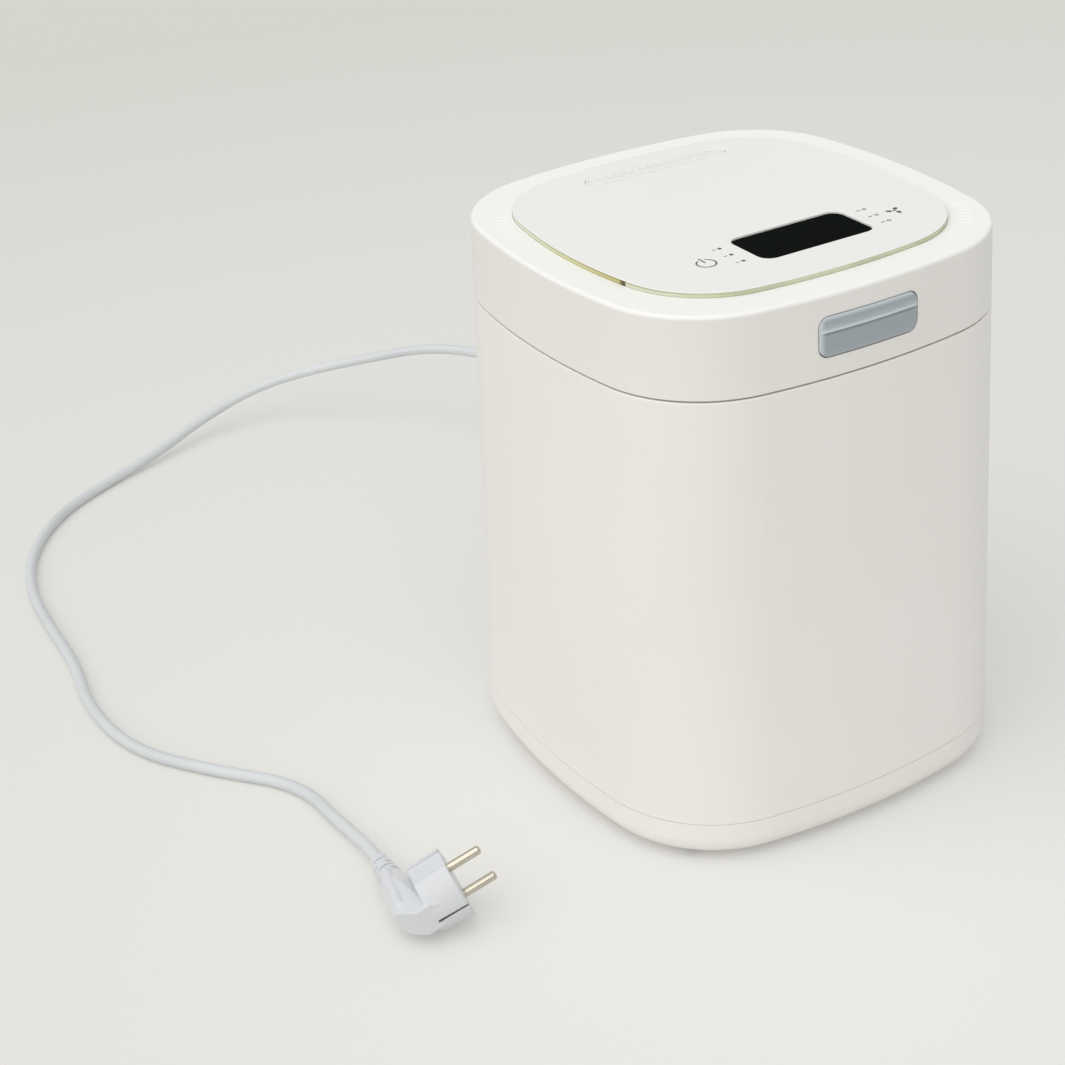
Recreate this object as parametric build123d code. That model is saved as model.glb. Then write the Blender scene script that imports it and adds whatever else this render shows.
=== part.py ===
from build123d import *
import math
import os

# Electric food waste composter: a lidded bin with a heated pot, a stirred bucket and a geared drive.
# Units are millimetres. The origin is on the floor under the middle of the bin, the front faces -Y
# and +Z is up. One STEP file is written for each separate piece.

os.makedirs("parts", exist_ok=True)

# ---- driving dimensions: the outer form --------------------------------------------------------
RIM_Z = 311.5            # top edge of the lid
RIM_HALF_X = 118.0       # half width and half depth at the top edge
RIM_HALF_Y = 119.5
SIDE_R = 396.0           # the four sides bow outwards on this radius
CORNER_R = 62.5
DRAFT = 0.030            # every wall spreads by this much for each millimetre downwards
SEAM_Z = 267.8           # parting line between lid and housing
SEAM_GAP = 0.9
BASE_SEAM_Z = 25.0       # parting line between housing and base tray
FOOT_H = 3.0
BASE_FILLET = 12.0
WALL = 2.8
LID_WALL = 2.6
LID_TOP_T = 3.2
RIM_FILLET = 2.0

# ---- driving dimensions: the top panel ---------------------------------------------------------
GLASS_HALF_X = 99.0
GLASS_HALF_Y = 99.5
GLASS_SIDE_RX = 287.0
GLASS_SIDE_RY = 369.0
GLASS_CORNER_R = 52.6
GLASS_T = 3.2
GLASS_POCKET = 0.5
PANEL_X = 8.5            # the display, icons and vent sit this far right of the middle
DISPLAY_Y = -54.2
DISPLAY_W = 69.0
DISPLAY_D = 34.6
VENT_Y = 78.3
VENT_L = 89.4
VENT_W = 12.0

# ---- driving dimensions: latch, hinge, well, drive, cord ---------------------------------------
LATCH_Z = 289.65
LATCH_W = 59.5
LATCH_H = 20.7
LATCH_R = 5.5
HOOK_PIVOT = (-110.0, 284.0)     # Y and Z
HINGE_Y = 123.0
HINGE_Z = SEAM_Z
KNUCKLE_R = 5.2
HINGE_PIN_R = 2.5
DECK_Z = 259.5           # underside of the deck plate
DECK_T = 3.0
WELL_R = 96.0
POT_R = 91.0             # inner radius of the heated pot
POT_FLOOR_Z = 108.0
POT_T = 1.5
BUCKET_R = 88.0
BUCKET_T = 1.8
BUCKET_RIM_Z = 252.0
BUCKET_FLOOR_Z = 124.0
SHAFT_R = 5.0
STUB_R = 6.0
RUNNING_GAP = 0.05
GEARBOX_Z = 62.0         # underside of the gearbox tub
GEARBOX_TOP = 96.0
IDLER_ANGLE = 150.0
MOTOR_ANGLE = 260.0
LOW_MODULE = 1.25
HIGH_MODULE = 1.5
MOTOR_TEETH = 18
IDLER_LOW_TEETH = 48
IDLER_HIGH_TEETH = 18
OUTPUT_TEETH = 54
FAN_POS = (0.0, 45.0, 281.0)
CORD_R = 3.5
GLAND_X = 50.0
GLAND_Z = 72.0

LID_BOTTOM = SEAM_Z + SEAM_GAP / 2
HOUSING_TOP = SEAM_Z - SEAM_GAP / 2
GLASS_BOTTOM = RIM_Z - GLASS_POCKET
LID_CEILING = RIM_Z - LID_TOP_T


# ---- shared shapes -----------------------------------------------------------------------------
def save(name, *pieces):
    """Write one piece, or a group of like pieces, to its own STEP file."""
    solids = [solid for piece in pieces for solid in piece.solids()]
    shape = solids[0] if len(solids) == 1 else Compound(solids)
    export_step(shape, f"parts/{name}.step")


def bowed_square(half_x, half_y, side_rx, side_ry, corner_r):
    """Face with four sides that bow outwards and run tangent into round corners."""
    side_x = Vector(half_x - side_rx, 0)
    side_y = Vector(0, half_y - side_ry)
    reach_x = side_rx - corner_r
    reach_y = side_ry - corner_r
    span = (side_y - side_x).length
    along = (reach_x**2 - reach_y**2 + span**2) / (2 * span)
    across = math.sqrt(reach_x**2 - along**2)
    way = (side_y - side_x).normalized()
    corner = side_x + way * along + Vector(-way.Y, way.X) * across
    end_x = side_x + (corner - side_x).normalized() * side_rx
    end_y = side_y + (corner - side_y).normalized() * side_ry
    bisector = ((end_x - corner) + (end_y - corner)).normalized()
    mid = corner + bisector * corner_r

    def arc(a, b, c, sx, sy):
        return ThreePointArc(*[(p[0] * sx, p[1] * sy) for p in (a, b, c)])

    ex, ey, m = (end_x.X, end_x.Y), (end_y.X, end_y.Y), (mid.X, mid.Y)
    edges = [
        arc((ex[0], -ex[1]), (half_x, 0), ex, 1, 1),
        arc(ex, m, ey, 1, 1),
        arc(ey, (0, half_y), (-ey[0], ey[1]), 1, 1),
        arc(ey, m, ex, -1, 1),
        arc(ex, (half_x, 0), (ex[0], -ex[1]), -1, 1),
        arc(ex, m, ey, -1, -1),
        arc(ey, (0, half_y), (-ey[0], ey[1]), -1, -1),
        arc(ey, m, ex, 1, -1),
    ]
    return Face(Wire(edges))


def body_section(z, inset):
    """Outline of the bin at height z, moved inwards by inset."""
    grow = DRAFT * (RIM_Z - z) - inset
    outline = bowed_square(
        RIM_HALF_X + grow, RIM_HALF_Y + grow, SIDE_R + grow, SIDE_R + grow, CORNER_R + grow
    )
    return Pos(0, 0, z) * outline


def flared(z0, z1, inset):
    """Block between two heights with the bin's own flared sides."""
    low, high = body_section(z0, inset).outer_wire(), body_section(z1, inset).outer_wire()
    return Solid.make_loft([low, high], True)


def glass_block(z0, z1, grow):
    """Upright block with the glass panel's outline, moved outwards by grow."""
    outline = bowed_square(
        GLASS_HALF_X + grow, GLASS_HALF_Y + grow, GLASS_SIDE_RX + grow, GLASS_SIDE_RY + grow,
        GLASS_CORNER_R + grow
    )
    return Pos(0, 0, z0) * extrude(outline, z1 - z0)


def half_depth(z, inset=0.0):
    """Half depth of the bin on its middle line."""
    return RIM_HALF_Y + DRAFT * (RIM_Z - z) - inset


def box(x0, x1, y0, y1, z0, z1):
    middle = Pos((x0 + x1) / 2, (y0 + y1) / 2, (z0 + z1) / 2)
    return middle * Box(x1 - x0, y1 - y0, z1 - z0)


def rod(x, y, z0, z1, r):
    return Pos(x, y, (z0 + z1) / 2) * Cylinder(r, z1 - z0)


def tube(x, y, z0, z1, inner_r, outer_r):
    return rod(x, y, z0, z1, outer_r) - rod(x, y, z0 - 1, z1 + 1, inner_r)


def cross_rod(x0, x1, y, z, r):
    """Round bar along X."""
    return Pos((x0 + x1) / 2, y, z) * Rot(0, 90, 0) * Cylinder(r, x1 - x0)


def deep_rod(x, y0, y1, z, r):
    """Round bar along Y."""
    return Pos(x, (y0 + y1) / 2, z) * Rot(90, 0, 0) * Cylinder(r, y1 - y0)


def turned(points):
    """Solid of revolution about Z from a closed profile of (radius, height) points."""
    profile = Plane.XZ * make_face(Polyline(*points, close=True))
    return revolve(profile, Axis.Z)


def corners(x, y):
    return [(sx * x, sy * y) for sx in (-1, 1) for sy in (-1, 1)]


# ---- base tray: moulded floor with a rounded foot edge, vents and tall screw posts -------------
FLOOR_T = 3.0
SPIGOT_H = 6.0
FOOT_X, FOOT_Y, FOOT_R = 86.0, 87.0, 10.0
FOOT_STEM_R = 3.0
BASE_SCREW_X, BASE_SCREW_Y = 94.5, 95.5
POST_R = 6.0
POSTS = [(51.0, -14.0), (-20.0, 66.0), (-40.0, -50.0)]
BOARD_X, BOARD_Y, BOARD_Z = 52.0, 52.0, 20.0
BOARD_HALF_X, BOARD_HALF_Y = 40.0, 28.0
BOARD_POSTS = [(BOARD_X + x, BOARD_Y + y) for x, y in corners(BOARD_HALF_X - 5, BOARD_HALF_Y - 5)]

floor_top = FOOT_H + FLOOR_T
tray = flared(FOOT_H, BASE_SEAM_Z, 0)
tray = fillet(tray.faces().sort_by(Axis.Z)[0].edges(), BASE_FILLET)
hollow = flared(floor_top, BASE_SEAM_Z + 1, WALL)
hollow = fillet(hollow.faces().sort_by(Axis.Z)[0].edges(), BASE_FILLET - WALL)
tray = tray - hollow
ledge = flared(BASE_SEAM_Z - 4, BASE_SEAM_Z, WALL - 0.8)
ledge = ledge - flared(BASE_SEAM_Z - 5, BASE_SEAM_Z + 1, WALL + 2.2)
spigot = flared(BASE_SEAM_Z - 1, BASE_SEAM_Z + SPIGOT_H, WALL + 0.2)
spigot = spigot - flared(BASE_SEAM_Z - 2, BASE_SEAM_Z + SPIGOT_H + 1, WALL + 2.2)
tray = tray + ledge + spigot
for x, y in POSTS:
    tray = tray + rod(x, y, FOOT_H + 1, GEARBOX_Z, POST_R)
for x, y in BOARD_POSTS:
    tray = tray + rod(x, y, FOOT_H + 1, BOARD_Z, 4.0)
for x, y in corners(BASE_SCREW_X, BASE_SCREW_Y):
    tray = tray + rod(x, y, FOOT_H + 5, 33.0, 6.0) - rod(x, y, 0, 40, 2.0) - rod(x, y, 0, 24.0, 4.2)
for x, y in corners(FOOT_X, FOOT_Y):
    tray = tray - rod(x, y, 0, 10, FOOT_STEM_R)
for sx in (-1, 1):
    for row in range(7):
        y = -84.0 + row * 8.0
        slot = extrude(Pos(sx * 44.0, y) * SlotOverall(52, 3.4), 10)
        tray = tray - slot
save("base_tray", tray)

feet = []
for x, y in corners(FOOT_X, FOOT_Y):
    pad = chamfer(rod(x, y, 0, FOOT_H, FOOT_R).edges().sort_by(Axis.Z)[0], 0.8)
    stem = rod(x, y, FOOT_H, floor_top, FOOT_STEM_R)
    feet.append(pad + stem + rod(x, y, floor_top, floor_top + 1.6, 4.4))
save("rubber_feet", *feet)

screws = []
for x, y in corners(BASE_SCREW_X, BASE_SCREW_Y):
    screws.append(rod(x, y, 21.0, 24.0, 3.6) + rod(x, y, 24.0, 46.0, 1.9))
save("base_screws", *screws)

# ---- outer housing: one flared shell with corner bosses, deck ledge, rear louvres and cable hole ----
DECK_BOSS_X, DECK_BOSS_Y = 91.5, 93.0
HINGE_HALF = 46.5
LOUVRE_X, LOUVRE_Z = -32.0, 44.0

outer_skin = flared(BASE_SEAM_Z + 0.4, HOUSING_TOP, 0)
housing = outer_skin - flared(BASE_SEAM_Z - 1, HOUSING_TOP + 1, WALL)
housing = chamfer(housing.edges().filter_by_position(Axis.Z, HOUSING_TOP - 0.01, HOUSING_TOP + 0.01), 0.6)
deck_ledge = flared(DECK_Z - 3, DECK_Z, WALL - 0.8) - flared(DECK_Z - 4, DECK_Z + 1, WALL + 4)
housing = housing + (deck_ledge - box(-20, 20, -130, 0, 250, 262))
trim = flared(BASE_SEAM_Z + 0.4, HOUSING_TOP, 1.0)
for x, y in corners(DECK_BOSS_X, DECK_BOSS_Y):
    boss = rod(x, y, 232.0, DECK_Z, 7.0) & trim
    housing = housing + boss - rod(x, y, 240.0, 262.0, 1.6)
for x, y in corners(BASE_SCREW_X, BASE_SCREW_Y):
    boss = rod(x, y, 33.0, 56.0, 8.5) & trim
    housing = housing + boss - rod(x, y, 30.0, 50.0, 1.9)
housing = housing - box(-HINGE_HALF - 0.3, HINGE_HALF + 0.3, 111.0, 130.0, DECK_Z + DECK_T, 275.0)
entry_y = half_depth(GLAND_Z) - GLAND_X**2 / (2 * SIDE_R)
housing = housing + deep_rod(GLAND_X, entry_y - 5.0, entry_y + 1.7, GLAND_Z, 12.0)
housing = housing - deep_rod(GLAND_X, 100, 140, GLAND_Z, 7.2)
for row in range(6):
    louvre = Pos(LOUVRE_X, 110, LOUVRE_Z + row * 8.0) * Rot(-90, 0, 0) * SlotOverall(70, 3.4)
    housing = housing - extrude(louvre, 30)
save("outer_housing", housing)

# ---- top deck: plate inside the rim of the housing, with the well opening, seal land and latch slot ----
deck_top = DECK_Z + DECK_T
UPSTAND_H = 3.0
deck = flared(DECK_Z, deck_top, WALL + 0.3) - rod(0, 0, 200, 300, WELL_R)
deck = deck + tube(0, 0, deck_top - 1, deck_top + UPSTAND_H, WELL_R, WELL_R + 3)
deck = deck - box(-6.5, 6.5, -116.5, -108.3, 250, 270)
for x, y in corners(DECK_BOSS_X, DECK_BOSS_Y):
    deck = deck - rod(x, y, 250, 270, 1.8)
POT_SCREW_R = 101.4
POT_SCREW_TURNS = [math.radians(60 * n) for n in range(6)]
POT_SCREWS = [(POT_SCREW_R * math.cos(turn), POT_SCREW_R * math.sin(turn)) for turn in POT_SCREW_TURNS]
for x, y in POT_SCREWS:
    deck = deck - rod(x, y, 250, 270, 1.5)
save("top_deck", deck)

screws = []
for x, y in corners(DECK_BOSS_X, DECK_BOSS_Y):
    screws.append(rod(x, y, deck_top, deck_top + 2.2, 3.4) + rod(x, y, 244.0, deck_top, 1.6))
for x, y in POT_SCREWS:
    screws.append(rod(x, y, deck_top, deck_top + 1.8, 2.3) + rod(x, y, DECK_Z - POT_T, deck_top, 1.4))
save("deck_screws", *screws)

striker = box(-14, 14, -108.3, -104.4, DECK_Z - 1.5, DECK_Z)
save("latch_striker", striker)

# ---- heated pot, heater band, insulation, sensor and shaft seal --------------------------------
SEAL_R = 9.0
pot_outer = POT_R + POT_T
pot = turned([
    (SEAL_R, POT_FLOOR_Z - POT_T), (pot_outer - 5, POT_FLOOR_Z - POT_T), (pot_outer, POT_FLOOR_Z + 3.5),
    (pot_outer, DECK_Z - POT_T), (104.0, DECK_Z - POT_T), (104.0, DECK_Z), (POT_R, DECK_Z),
    (POT_R, POT_FLOOR_Z + 4), (POT_R - 4, POT_FLOOR_Z), (SEAL_R, POT_FLOOR_Z),
])
for x, y in POT_SCREWS:
    pot = pot - rod(x, y, 250, 270, 1.4)
save("heating_pot", pot)

band = tube(0, 0, 122.0, 182.0, pot_outer + 0.1, pot_outer + 2.4)
band = band - box(pot_outer - 4, pot_outer + 6, -3, 3, 120, 184)
terminal = box(pot_outer + 1.9, pot_outer + 10, 8, 22, 140, 156)
save("heater_band", band + terminal - rod(0, 0, 120, 184, pot_outer + 0.1))
sleeve = tube(0, 0, 112.0, 250.0, pot_outer + 3.0, pot_outer + 10.0)
sleeve = sleeve - box(80, 120, -6, 26, 100, 190)
save("insulation_sleeve", sleeve)
save("temperature_sensor", box(34, 50, -36, -26, POT_FLOOR_Z - POT_T - 4, POT_FLOOR_Z - POT_T))

seal = turned([
    (SHAFT_R + 0.3, POT_FLOOR_Z - 4), (SEAL_R, POT_FLOOR_Z - 4), (SEAL_R, POT_FLOOR_Z), (11.0, POT_FLOOR_Z),
    (11.0, POT_FLOOR_Z + 1.2), (SHAFT_R + 1.6, POT_FLOOR_Z + 1.2), (SHAFT_R + 0.3, POT_FLOOR_Z + 2.0),
])
save("shaft_seal", seal)

# ---- gear train: motor pinion, compound gear and output gear in a cast tub ---------------------
PRESSURE_ANGLE = math.radians(20)
ADDENDUM, DEDENDUM = 0.95, 1.25
BACKLASH = 0.10          # tooth thinning, in modules


def gear_face(teeth, module, angle):
    """Face of a spur gear with involute flanks and one tooth on the line at angle, in degrees."""
    pitch_r = teeth * module / 2
    base_r = pitch_r * math.cos(PRESSURE_ANGLE)
    tip_r = pitch_r + ADDENDUM * module
    root_r = pitch_r - DEDENDUM * module
    start_r = max(base_r, root_r)
    foot_r = min(root_r, start_r)
    half_tooth = math.pi / (2 * teeth) - BACKLASH / teeth
    pitch_involute = math.tan(PRESSURE_ANGLE) - PRESSURE_ANGLE

    def flank(radius):
        pressure = math.acos(min(1.0, base_r / radius))
        return half_tooth + pitch_involute - (math.tan(pressure) - pressure)

    def at(radius, turn):
        return (radius * math.cos(turn), radius * math.sin(turn))

    step = 2 * math.pi / teeth
    middle_r = (start_r + tip_r) / 2
    edges = []
    for tooth in range(teeth):
        centre = math.radians(angle) + tooth * step
        low, mid, high = flank(start_r), flank(middle_r), flank(tip_r)
        rising = [at(start_r, centre - low), at(middle_r, centre - mid), at(tip_r, centre - high)]
        falling = [at(tip_r, centre + high), at(middle_r, centre + mid), at(start_r, centre + low)]
        land = [at(foot_r, centre + low), at(foot_r, centre + step - low)]
        if root_r < start_r - 0.01:
            edges.append(Line(at(root_r, centre - low), rising[0]))
        edges.append(ThreePointArc(*rising))
        edges.append(Line(rising[-1], falling[0]))
        edges.append(ThreePointArc(*falling))
        if root_r < start_r - 0.01:
            edges.append(Line(falling[-1], at(root_r, centre + low)))
        edges.append(Line(*land))
    return Face(Wire(edges))


def polar(x, y, distance, angle):
    return (x + distance * math.cos(math.radians(angle)), y + distance * math.sin(math.radians(angle)))


idler_distance = HIGH_MODULE * (IDLER_HIGH_TEETH + OUTPUT_TEETH) / 2
motor_distance = LOW_MODULE * (MOTOR_TEETH + IDLER_LOW_TEETH) / 2
IDLER = polar(0, 0, idler_distance, IDLER_ANGLE)
MOTOR = polar(*IDLER, motor_distance, MOTOR_ANGLE)

output_gear = Pos(0, 0, 79.0) * extrude(gear_face(OUTPUT_TEETH, HIGH_MODULE, IDLER_ANGLE), 11.0)
output_gear = output_gear - tube(0, 0, 77, 81.5, 13.0, 32.0) - tube(0, 0, 87.5, 92, 13.0, 32.0)
for spoke in range(6):
    x, y = polar(0, 0, 22.5, spoke * 60)
    output_gear = output_gear - rod(x, y, 70, 95, 6.5)
output_gear = output_gear + rod(0, 0, 67.0, 80.0, 9.5) + rod(0, 0, 89.0, 94.0, 9.0)
output_gear = output_gear - rod(0, 0, 60, 100, SHAFT_R)
save("output_gear", output_gear)

gap = 180.0 / IDLER_HIGH_TEETH
idler = Pos(0, 0, 75.0) * extrude(gear_face(IDLER_HIGH_TEETH, HIGH_MODULE, IDLER_ANGLE + 180 + gap), 17.0)
idler = idler + Pos(0, 0, 66.5) * extrude(gear_face(IDLER_LOW_TEETH, LOW_MODULE, MOTOR_ANGLE), 9.0)
idler = idler - tube(0, 0, 60, 68.8, 8.0, 24.0)
idler = Pos(*IDLER, 0) * (idler - rod(0, 0, 60, 100, 3.0 + RUNNING_GAP))
save("compound_gear", idler)

gap = 180.0 / MOTOR_TEETH
pinion = Pos(0, 0, 66.0) * extrude(gear_face(MOTOR_TEETH, LOW_MODULE, MOTOR_ANGLE + 180 + gap), 10.5)
pinion = Pos(*MOTOR, 0) * (pinion + rod(0, 0, 54.0, 79.0, 4.0))
save("motor_pinion", pinion)

save("idler_pin", rod(*IDLER, GEARBOX_Z, 98.0, 3.0))


def gearbox_outline(grow):
    """Outline that runs round the three gears, grow millimetres outside their tips."""
    rings = [((0, 0), 43.0), (IDLER, 32.0), (MOTOR, 13.5)]
    arcs = [edge for (x, y), r in rings for edge in (Pos(x, y) * Circle(r + grow)).edges()]
    return make_hull(arcs)


def lug_outline(x, y):
    towards = min([(0, 0), IDLER, MOTOR], key=lambda c: math.dist((x, y), c))
    away = Vector(x - towards[0], y - towards[1]).normalized() * 22
    inner = Pos(towards[0] + away.X, towards[1] + away.Y) * Circle(10)
    return make_hull(inner.edges() + (Pos(x, y) * Circle(8)).edges())


tub = Pos(0, 0, GEARBOX_Z) * extrude(gearbox_outline(3.2), GEARBOX_TOP - GEARBOX_Z)
for x, y in POSTS:
    tub = tub + Pos(0, 0, GEARBOX_Z) * extrude(lug_outline(x, y), 6.0)
tub = tub - Pos(0, 0, GEARBOX_Z + 3) * extrude(gearbox_outline(0.8), 60)
for x, y in POSTS:
    tub = tub - rod(x, y, 50, 80, 2.2)
tub = tub - rod(0, 0, 50, 80, 8.0) - rod(*IDLER, 50, 80, 3.0) - rod(*MOTOR, 50, 80, 10.0)
save("gearbox_tub", tub)

cover = Pos(0, 0, GEARBOX_TOP) * extrude(gearbox_outline(3.2), 3.0)
cover = cover - rod(0, 0, 90, 105, 8.0) - rod(*IDLER, 90, 98.0, 3.0)
save("gearbox_cover", cover)

screws = []
for x, y in POSTS:
    screws.append(rod(x, y, GEARBOX_Z + 6, GEARBOX_Z + 8.6, 4.0) + rod(x, y, GEARBOX_Z, GEARBOX_Z + 6, 2.2))
save("gearbox_screws", *screws)

bush_r = SHAFT_R + RUNNING_GAP
lower_bush = tube(0, 0, 60.5, 65.0, bush_r, 8.0) + tube(0, 0, 65.0, 66.6, bush_r, 10.5)
upper_bush = tube(0, 0, 96.0, 100.5, bush_r, 8.0) + tube(0, 0, 94.4, 96.0, bush_r, 10.5)
save("shaft_bushes", lower_bush, upper_bush)

MOTOR_R = 28.0
can = fillet(rod(*MOTOR, 15.0, GEARBOX_Z, MOTOR_R).edges().sort_by(Axis.Z)[0], 4.0)
can = can + rod(*MOTOR, GEARBOX_Z - 1, 64.5, 9.8) + rod(*MOTOR, 12.0, 16.0, 9.0)
can = can - rod(*MOTOR, 53.5, 70, 4.0 + RUNNING_GAP)
can = can + box(MOTOR[0] - 6, MOTOR[0] + 6, MOTOR[1] - MOTOR_R - 5, MOTOR[1] - MOTOR_R + 6, 20, 30)
for side in (-1, 1):
    can = can - tube(*MOTOR, 36 + side * 13, 38 + side * 13, MOTOR_R - 0.8, MOTOR_R + 2)
save("drive_motor", can)

# ---- drive shaft, dog clutch and the agitator that it turns ------------------------------------
save("drive_shaft", chamfer(rod(0, 0, 59.0, 113.0, SHAFT_R).edges().sort_by(Axis.Z)[-1], 0.6))


def dog_jaws(z0, z1, turn):
    """Two opposed jaws, each a sector of a ring."""
    sector = make_face(Polyline((2, 1.4), (30, 22), (30, -22), (2, -1.4), close=True))
    jaw = Pos(0, 0, z0) * extrude((Circle(11.0) - Circle(4.0)) & sector, z1 - z0)
    return Rot(0, 0, turn) * jaw + Rot(0, 0, turn + 180) * jaw


drive_dog = tube(0, 0, 110.8, 113.0, SHAFT_R, 11.0) + rod(0, 0, 113.0, 114.0, 11.0)
drive_dog = drive_dog + dog_jaws(113.5, 117.6, 0)
save("drive_dog", drive_dog)

stub = rod(0, 0, 117.9, 120.6, 11.0) + dog_jaws(114.2, 118.5, 90) + rod(0, 0, 120.0, 172.0, STUB_R)
save("agitator_shaft", stub)


def blade(turn, root, tip):
    """Twisted paddle between two tilted sections, each given as radius, height, tall, thick and tilt."""
    sections = []
    for radius, height, tall, thick, tilt in (root, tip):
        across = Plane(origin=(radius, 0, height), x_dir=(0, 1, 0), z_dir=(1, 0, 0))
        sections.append(across * Rot(0, 0, tilt) * RectangleRounded(thick, tall, min(thick, tall) * 0.35))
    return Rot(0, 0, turn) * loft(sections)


agitator = turned([
    (STUB_R, 139.5), (14.0, 139.5), (15.0, 142.0), (13.0, 172.0), (11.5, 186.0), (7.0, 192.0),
    (0, 193.5), (0, 172.0), (STUB_R, 172.0),
])
for turn in (20, 200):
    agitator = agitator + blade(turn, (10.0, 153.0, 20.0, 7.0, -15.0), (81.0, 138.5, 17.0, 5.0, -38.0))
for turn in (110, 290):
    agitator = agitator + blade(turn, (9.0, 181.5, 13.0, 6.0, 15.0), (70.0, 184.0, 11.0, 4.5, 38.0))
save("agitator", agitator)

# ---- bucket with hub, rim grips and fixed breaker bars -----------------------------------------
BREAKER_Z = 161.0
bucket = turned([
    (8.0, BUCKET_FLOOR_Z - 2), (BUCKET_R - 6, BUCKET_FLOOR_Z - 2), (BUCKET_R - 6, POT_FLOOR_Z + 0.5),
    (BUCKET_R - 4.5, POT_FLOOR_Z), (BUCKET_R - 3, POT_FLOOR_Z), (BUCKET_R, BUCKET_RIM_Z - 2),
    (BUCKET_R + 1.8, BUCKET_RIM_Z - 2), (BUCKET_R + 2.2, BUCKET_RIM_Z - 1), (BUCKET_R + 1.8, BUCKET_RIM_Z),
    (BUCKET_R - BUCKET_T, BUCKET_RIM_Z),
    (BUCKET_R - BUCKET_T - 2.6, BUCKET_FLOOR_Z + 5), (BUCKET_R - BUCKET_T - 7.6, BUCKET_FLOOR_Z),
    (14.0, BUCKET_FLOOR_Z), (13.0, BUCKET_FLOOR_Z + 13), (8.0, BUCKET_FLOOR_Z + 13),
])
save("bucket", bucket)
bush = turned([
    (STUB_R + RUNNING_GAP, BUCKET_FLOOR_Z - 2.6), (8.0, BUCKET_FLOOR_Z - 2.6),
    (8.0, BUCKET_FLOOR_Z + 13), (12.0, BUCKET_FLOOR_Z + 13),
    (12.0, BUCKET_FLOOR_Z + 14.8), (STUB_R + RUNNING_GAP, BUCKET_FLOOR_Z + 14.8),
])
save("bucket_bush", bush)

bars = []
bucket_space = rod(0, 0, 150, 175, BUCKET_R - BUCKET_T - 1.0)
for turn in (65, 245):
    bar = loft([
        Plane(origin=(42, 0, BREAKER_Z), x_dir=(0, 1, 0), z_dir=(1, 0, 0)) * RectangleRounded(4, 5, 1),
        Plane(origin=(88, 0, BREAKER_Z), x_dir=(0, 1, 0), z_dir=(1, 0, 0)) * RectangleRounded(12, 7, 1),
    ])
    bars.append(Rot(0, 0, turn) * (bar & bucket_space) - bucket)
save("breaker_bars", *bars)

grips = []
grip_profile = [(82.5, 241.0), (86.5, 241.0), (86.5, BUCKET_RIM_Z), (90.0, BUCKET_RIM_Z), (90.0, 254.0),
                (88.0, 255.0), (87.5, 260.6), (84.0, 260.6), (82.5, 255.0)]
for turn in (0, 180):
    ring = turned(grip_profile)
    wedge = Rot(0, 0, turn) * box(60, 100, -26, 26, 230, 270)
    grips.append((ring & wedge) - bucket)
save("bucket_grips", *grips)

# ---- power board and its parts -----------------------------------------------------------------
board = box(BOARD_X - BOARD_HALF_X, BOARD_X + BOARD_HALF_X, BOARD_Y - BOARD_HALF_Y, BOARD_Y + BOARD_HALF_Y,
            BOARD_Z, BOARD_Z + 1.6)
for x, y in BOARD_POSTS:
    board = board - rod(x, y, 10, 30, 1.6)
save("power_board", board)
top = BOARD_Z + 1.6
board_parts = [
    box(BOARD_X - 30, BOARD_X - 6, BOARD_Y - 16, BOARD_Y + 6, top, top + 18),
    box(BOARD_X + 2, BOARD_X + 18, BOARD_Y - 18, BOARD_Y - 2, top, top + 15),
    rod(BOARD_X + 28, BOARD_Y - 10, top, top + 22, 6.0),
    rod(BOARD_X + 10, BOARD_Y + 8, top, top + 14, 4.0),
    box(BOARD_X - 24, BOARD_X + 26, BOARD_Y + 15, BOARD_Y + 25, top, top + 11),
]
save("board_components", *board_parts)
screws = []
for x, y in BOARD_POSTS:
    screws.append(rod(x, y, BOARD_Z, top, 1.5) + rod(x, y, top, top + 2.0, 3.0))
save("board_screws", *screws)

# ---- hinge: bracket on the deck, pin, and the knuckle moulded into the lid ---------------------
LID_KNUCKLE_HALF = 26.0
bracket = box(-HINGE_HALF, HINGE_HALF, 102.0, 112.0, deck_top, deck_top + 2.4)
for side in (-1, 1):
    x0, x1 = sorted((side * (LID_KNUCKLE_HALF + 0.6), side * HINGE_HALF))
    bracket = bracket + box(x0, x1, 106.0, HINGE_Y, deck_top, HOUSING_TOP - 0.4)
    bracket = bracket + cross_rod(x0, x1, HINGE_Y, HINGE_Z, KNUCKLE_R)
bracket = bracket - cross_rod(-60, 60, HINGE_Y, HINGE_Z, HINGE_PIN_R)
bracket = bracket - box(-LID_KNUCKLE_HALF - 0.6, LID_KNUCKLE_HALF + 0.6, 112.0, 135.0, 255, 280)
save("hinge_bracket", bracket)
save("hinge_pin", cross_rod(-HINGE_HALF, HINGE_HALF, HINGE_Y, HINGE_Z, HINGE_PIN_R))

# ---- lid shell: flared skirt and rim, panel pocket, display and vent windows, latch window -----
SCREW_X, SCREW_Y = 90.0, 84.0
COVER_Z = 270.0          # underside of the lid's inner cover
COVER_T = 2.5


def latch_prism(grow):
    face = Plane(origin=(0, -90, LATCH_Z), x_dir=(1, 0, 0), z_dir=(0, -1, 0))
    return extrude(face * RectangleRounded(LATCH_W + 2 * grow, LATCH_H + 2 * grow, LATCH_R + grow), 50)


def display_window(grow, z0, z1):
    outline = RectangleRounded(DISPLAY_W + 2 * grow, DISPLAY_D + 2 * grow, 7.0 + grow)
    return Pos(PANEL_X, DISPLAY_Y, z0) * extrude(outline, z1 - z0)


def vent_slot(grow, z0, z1):
    return Pos(PANEL_X, VENT_Y, z0) * extrude(SlotOverall(VENT_L + 2 * grow, VENT_W + 2 * grow), z1 - z0)


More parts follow.
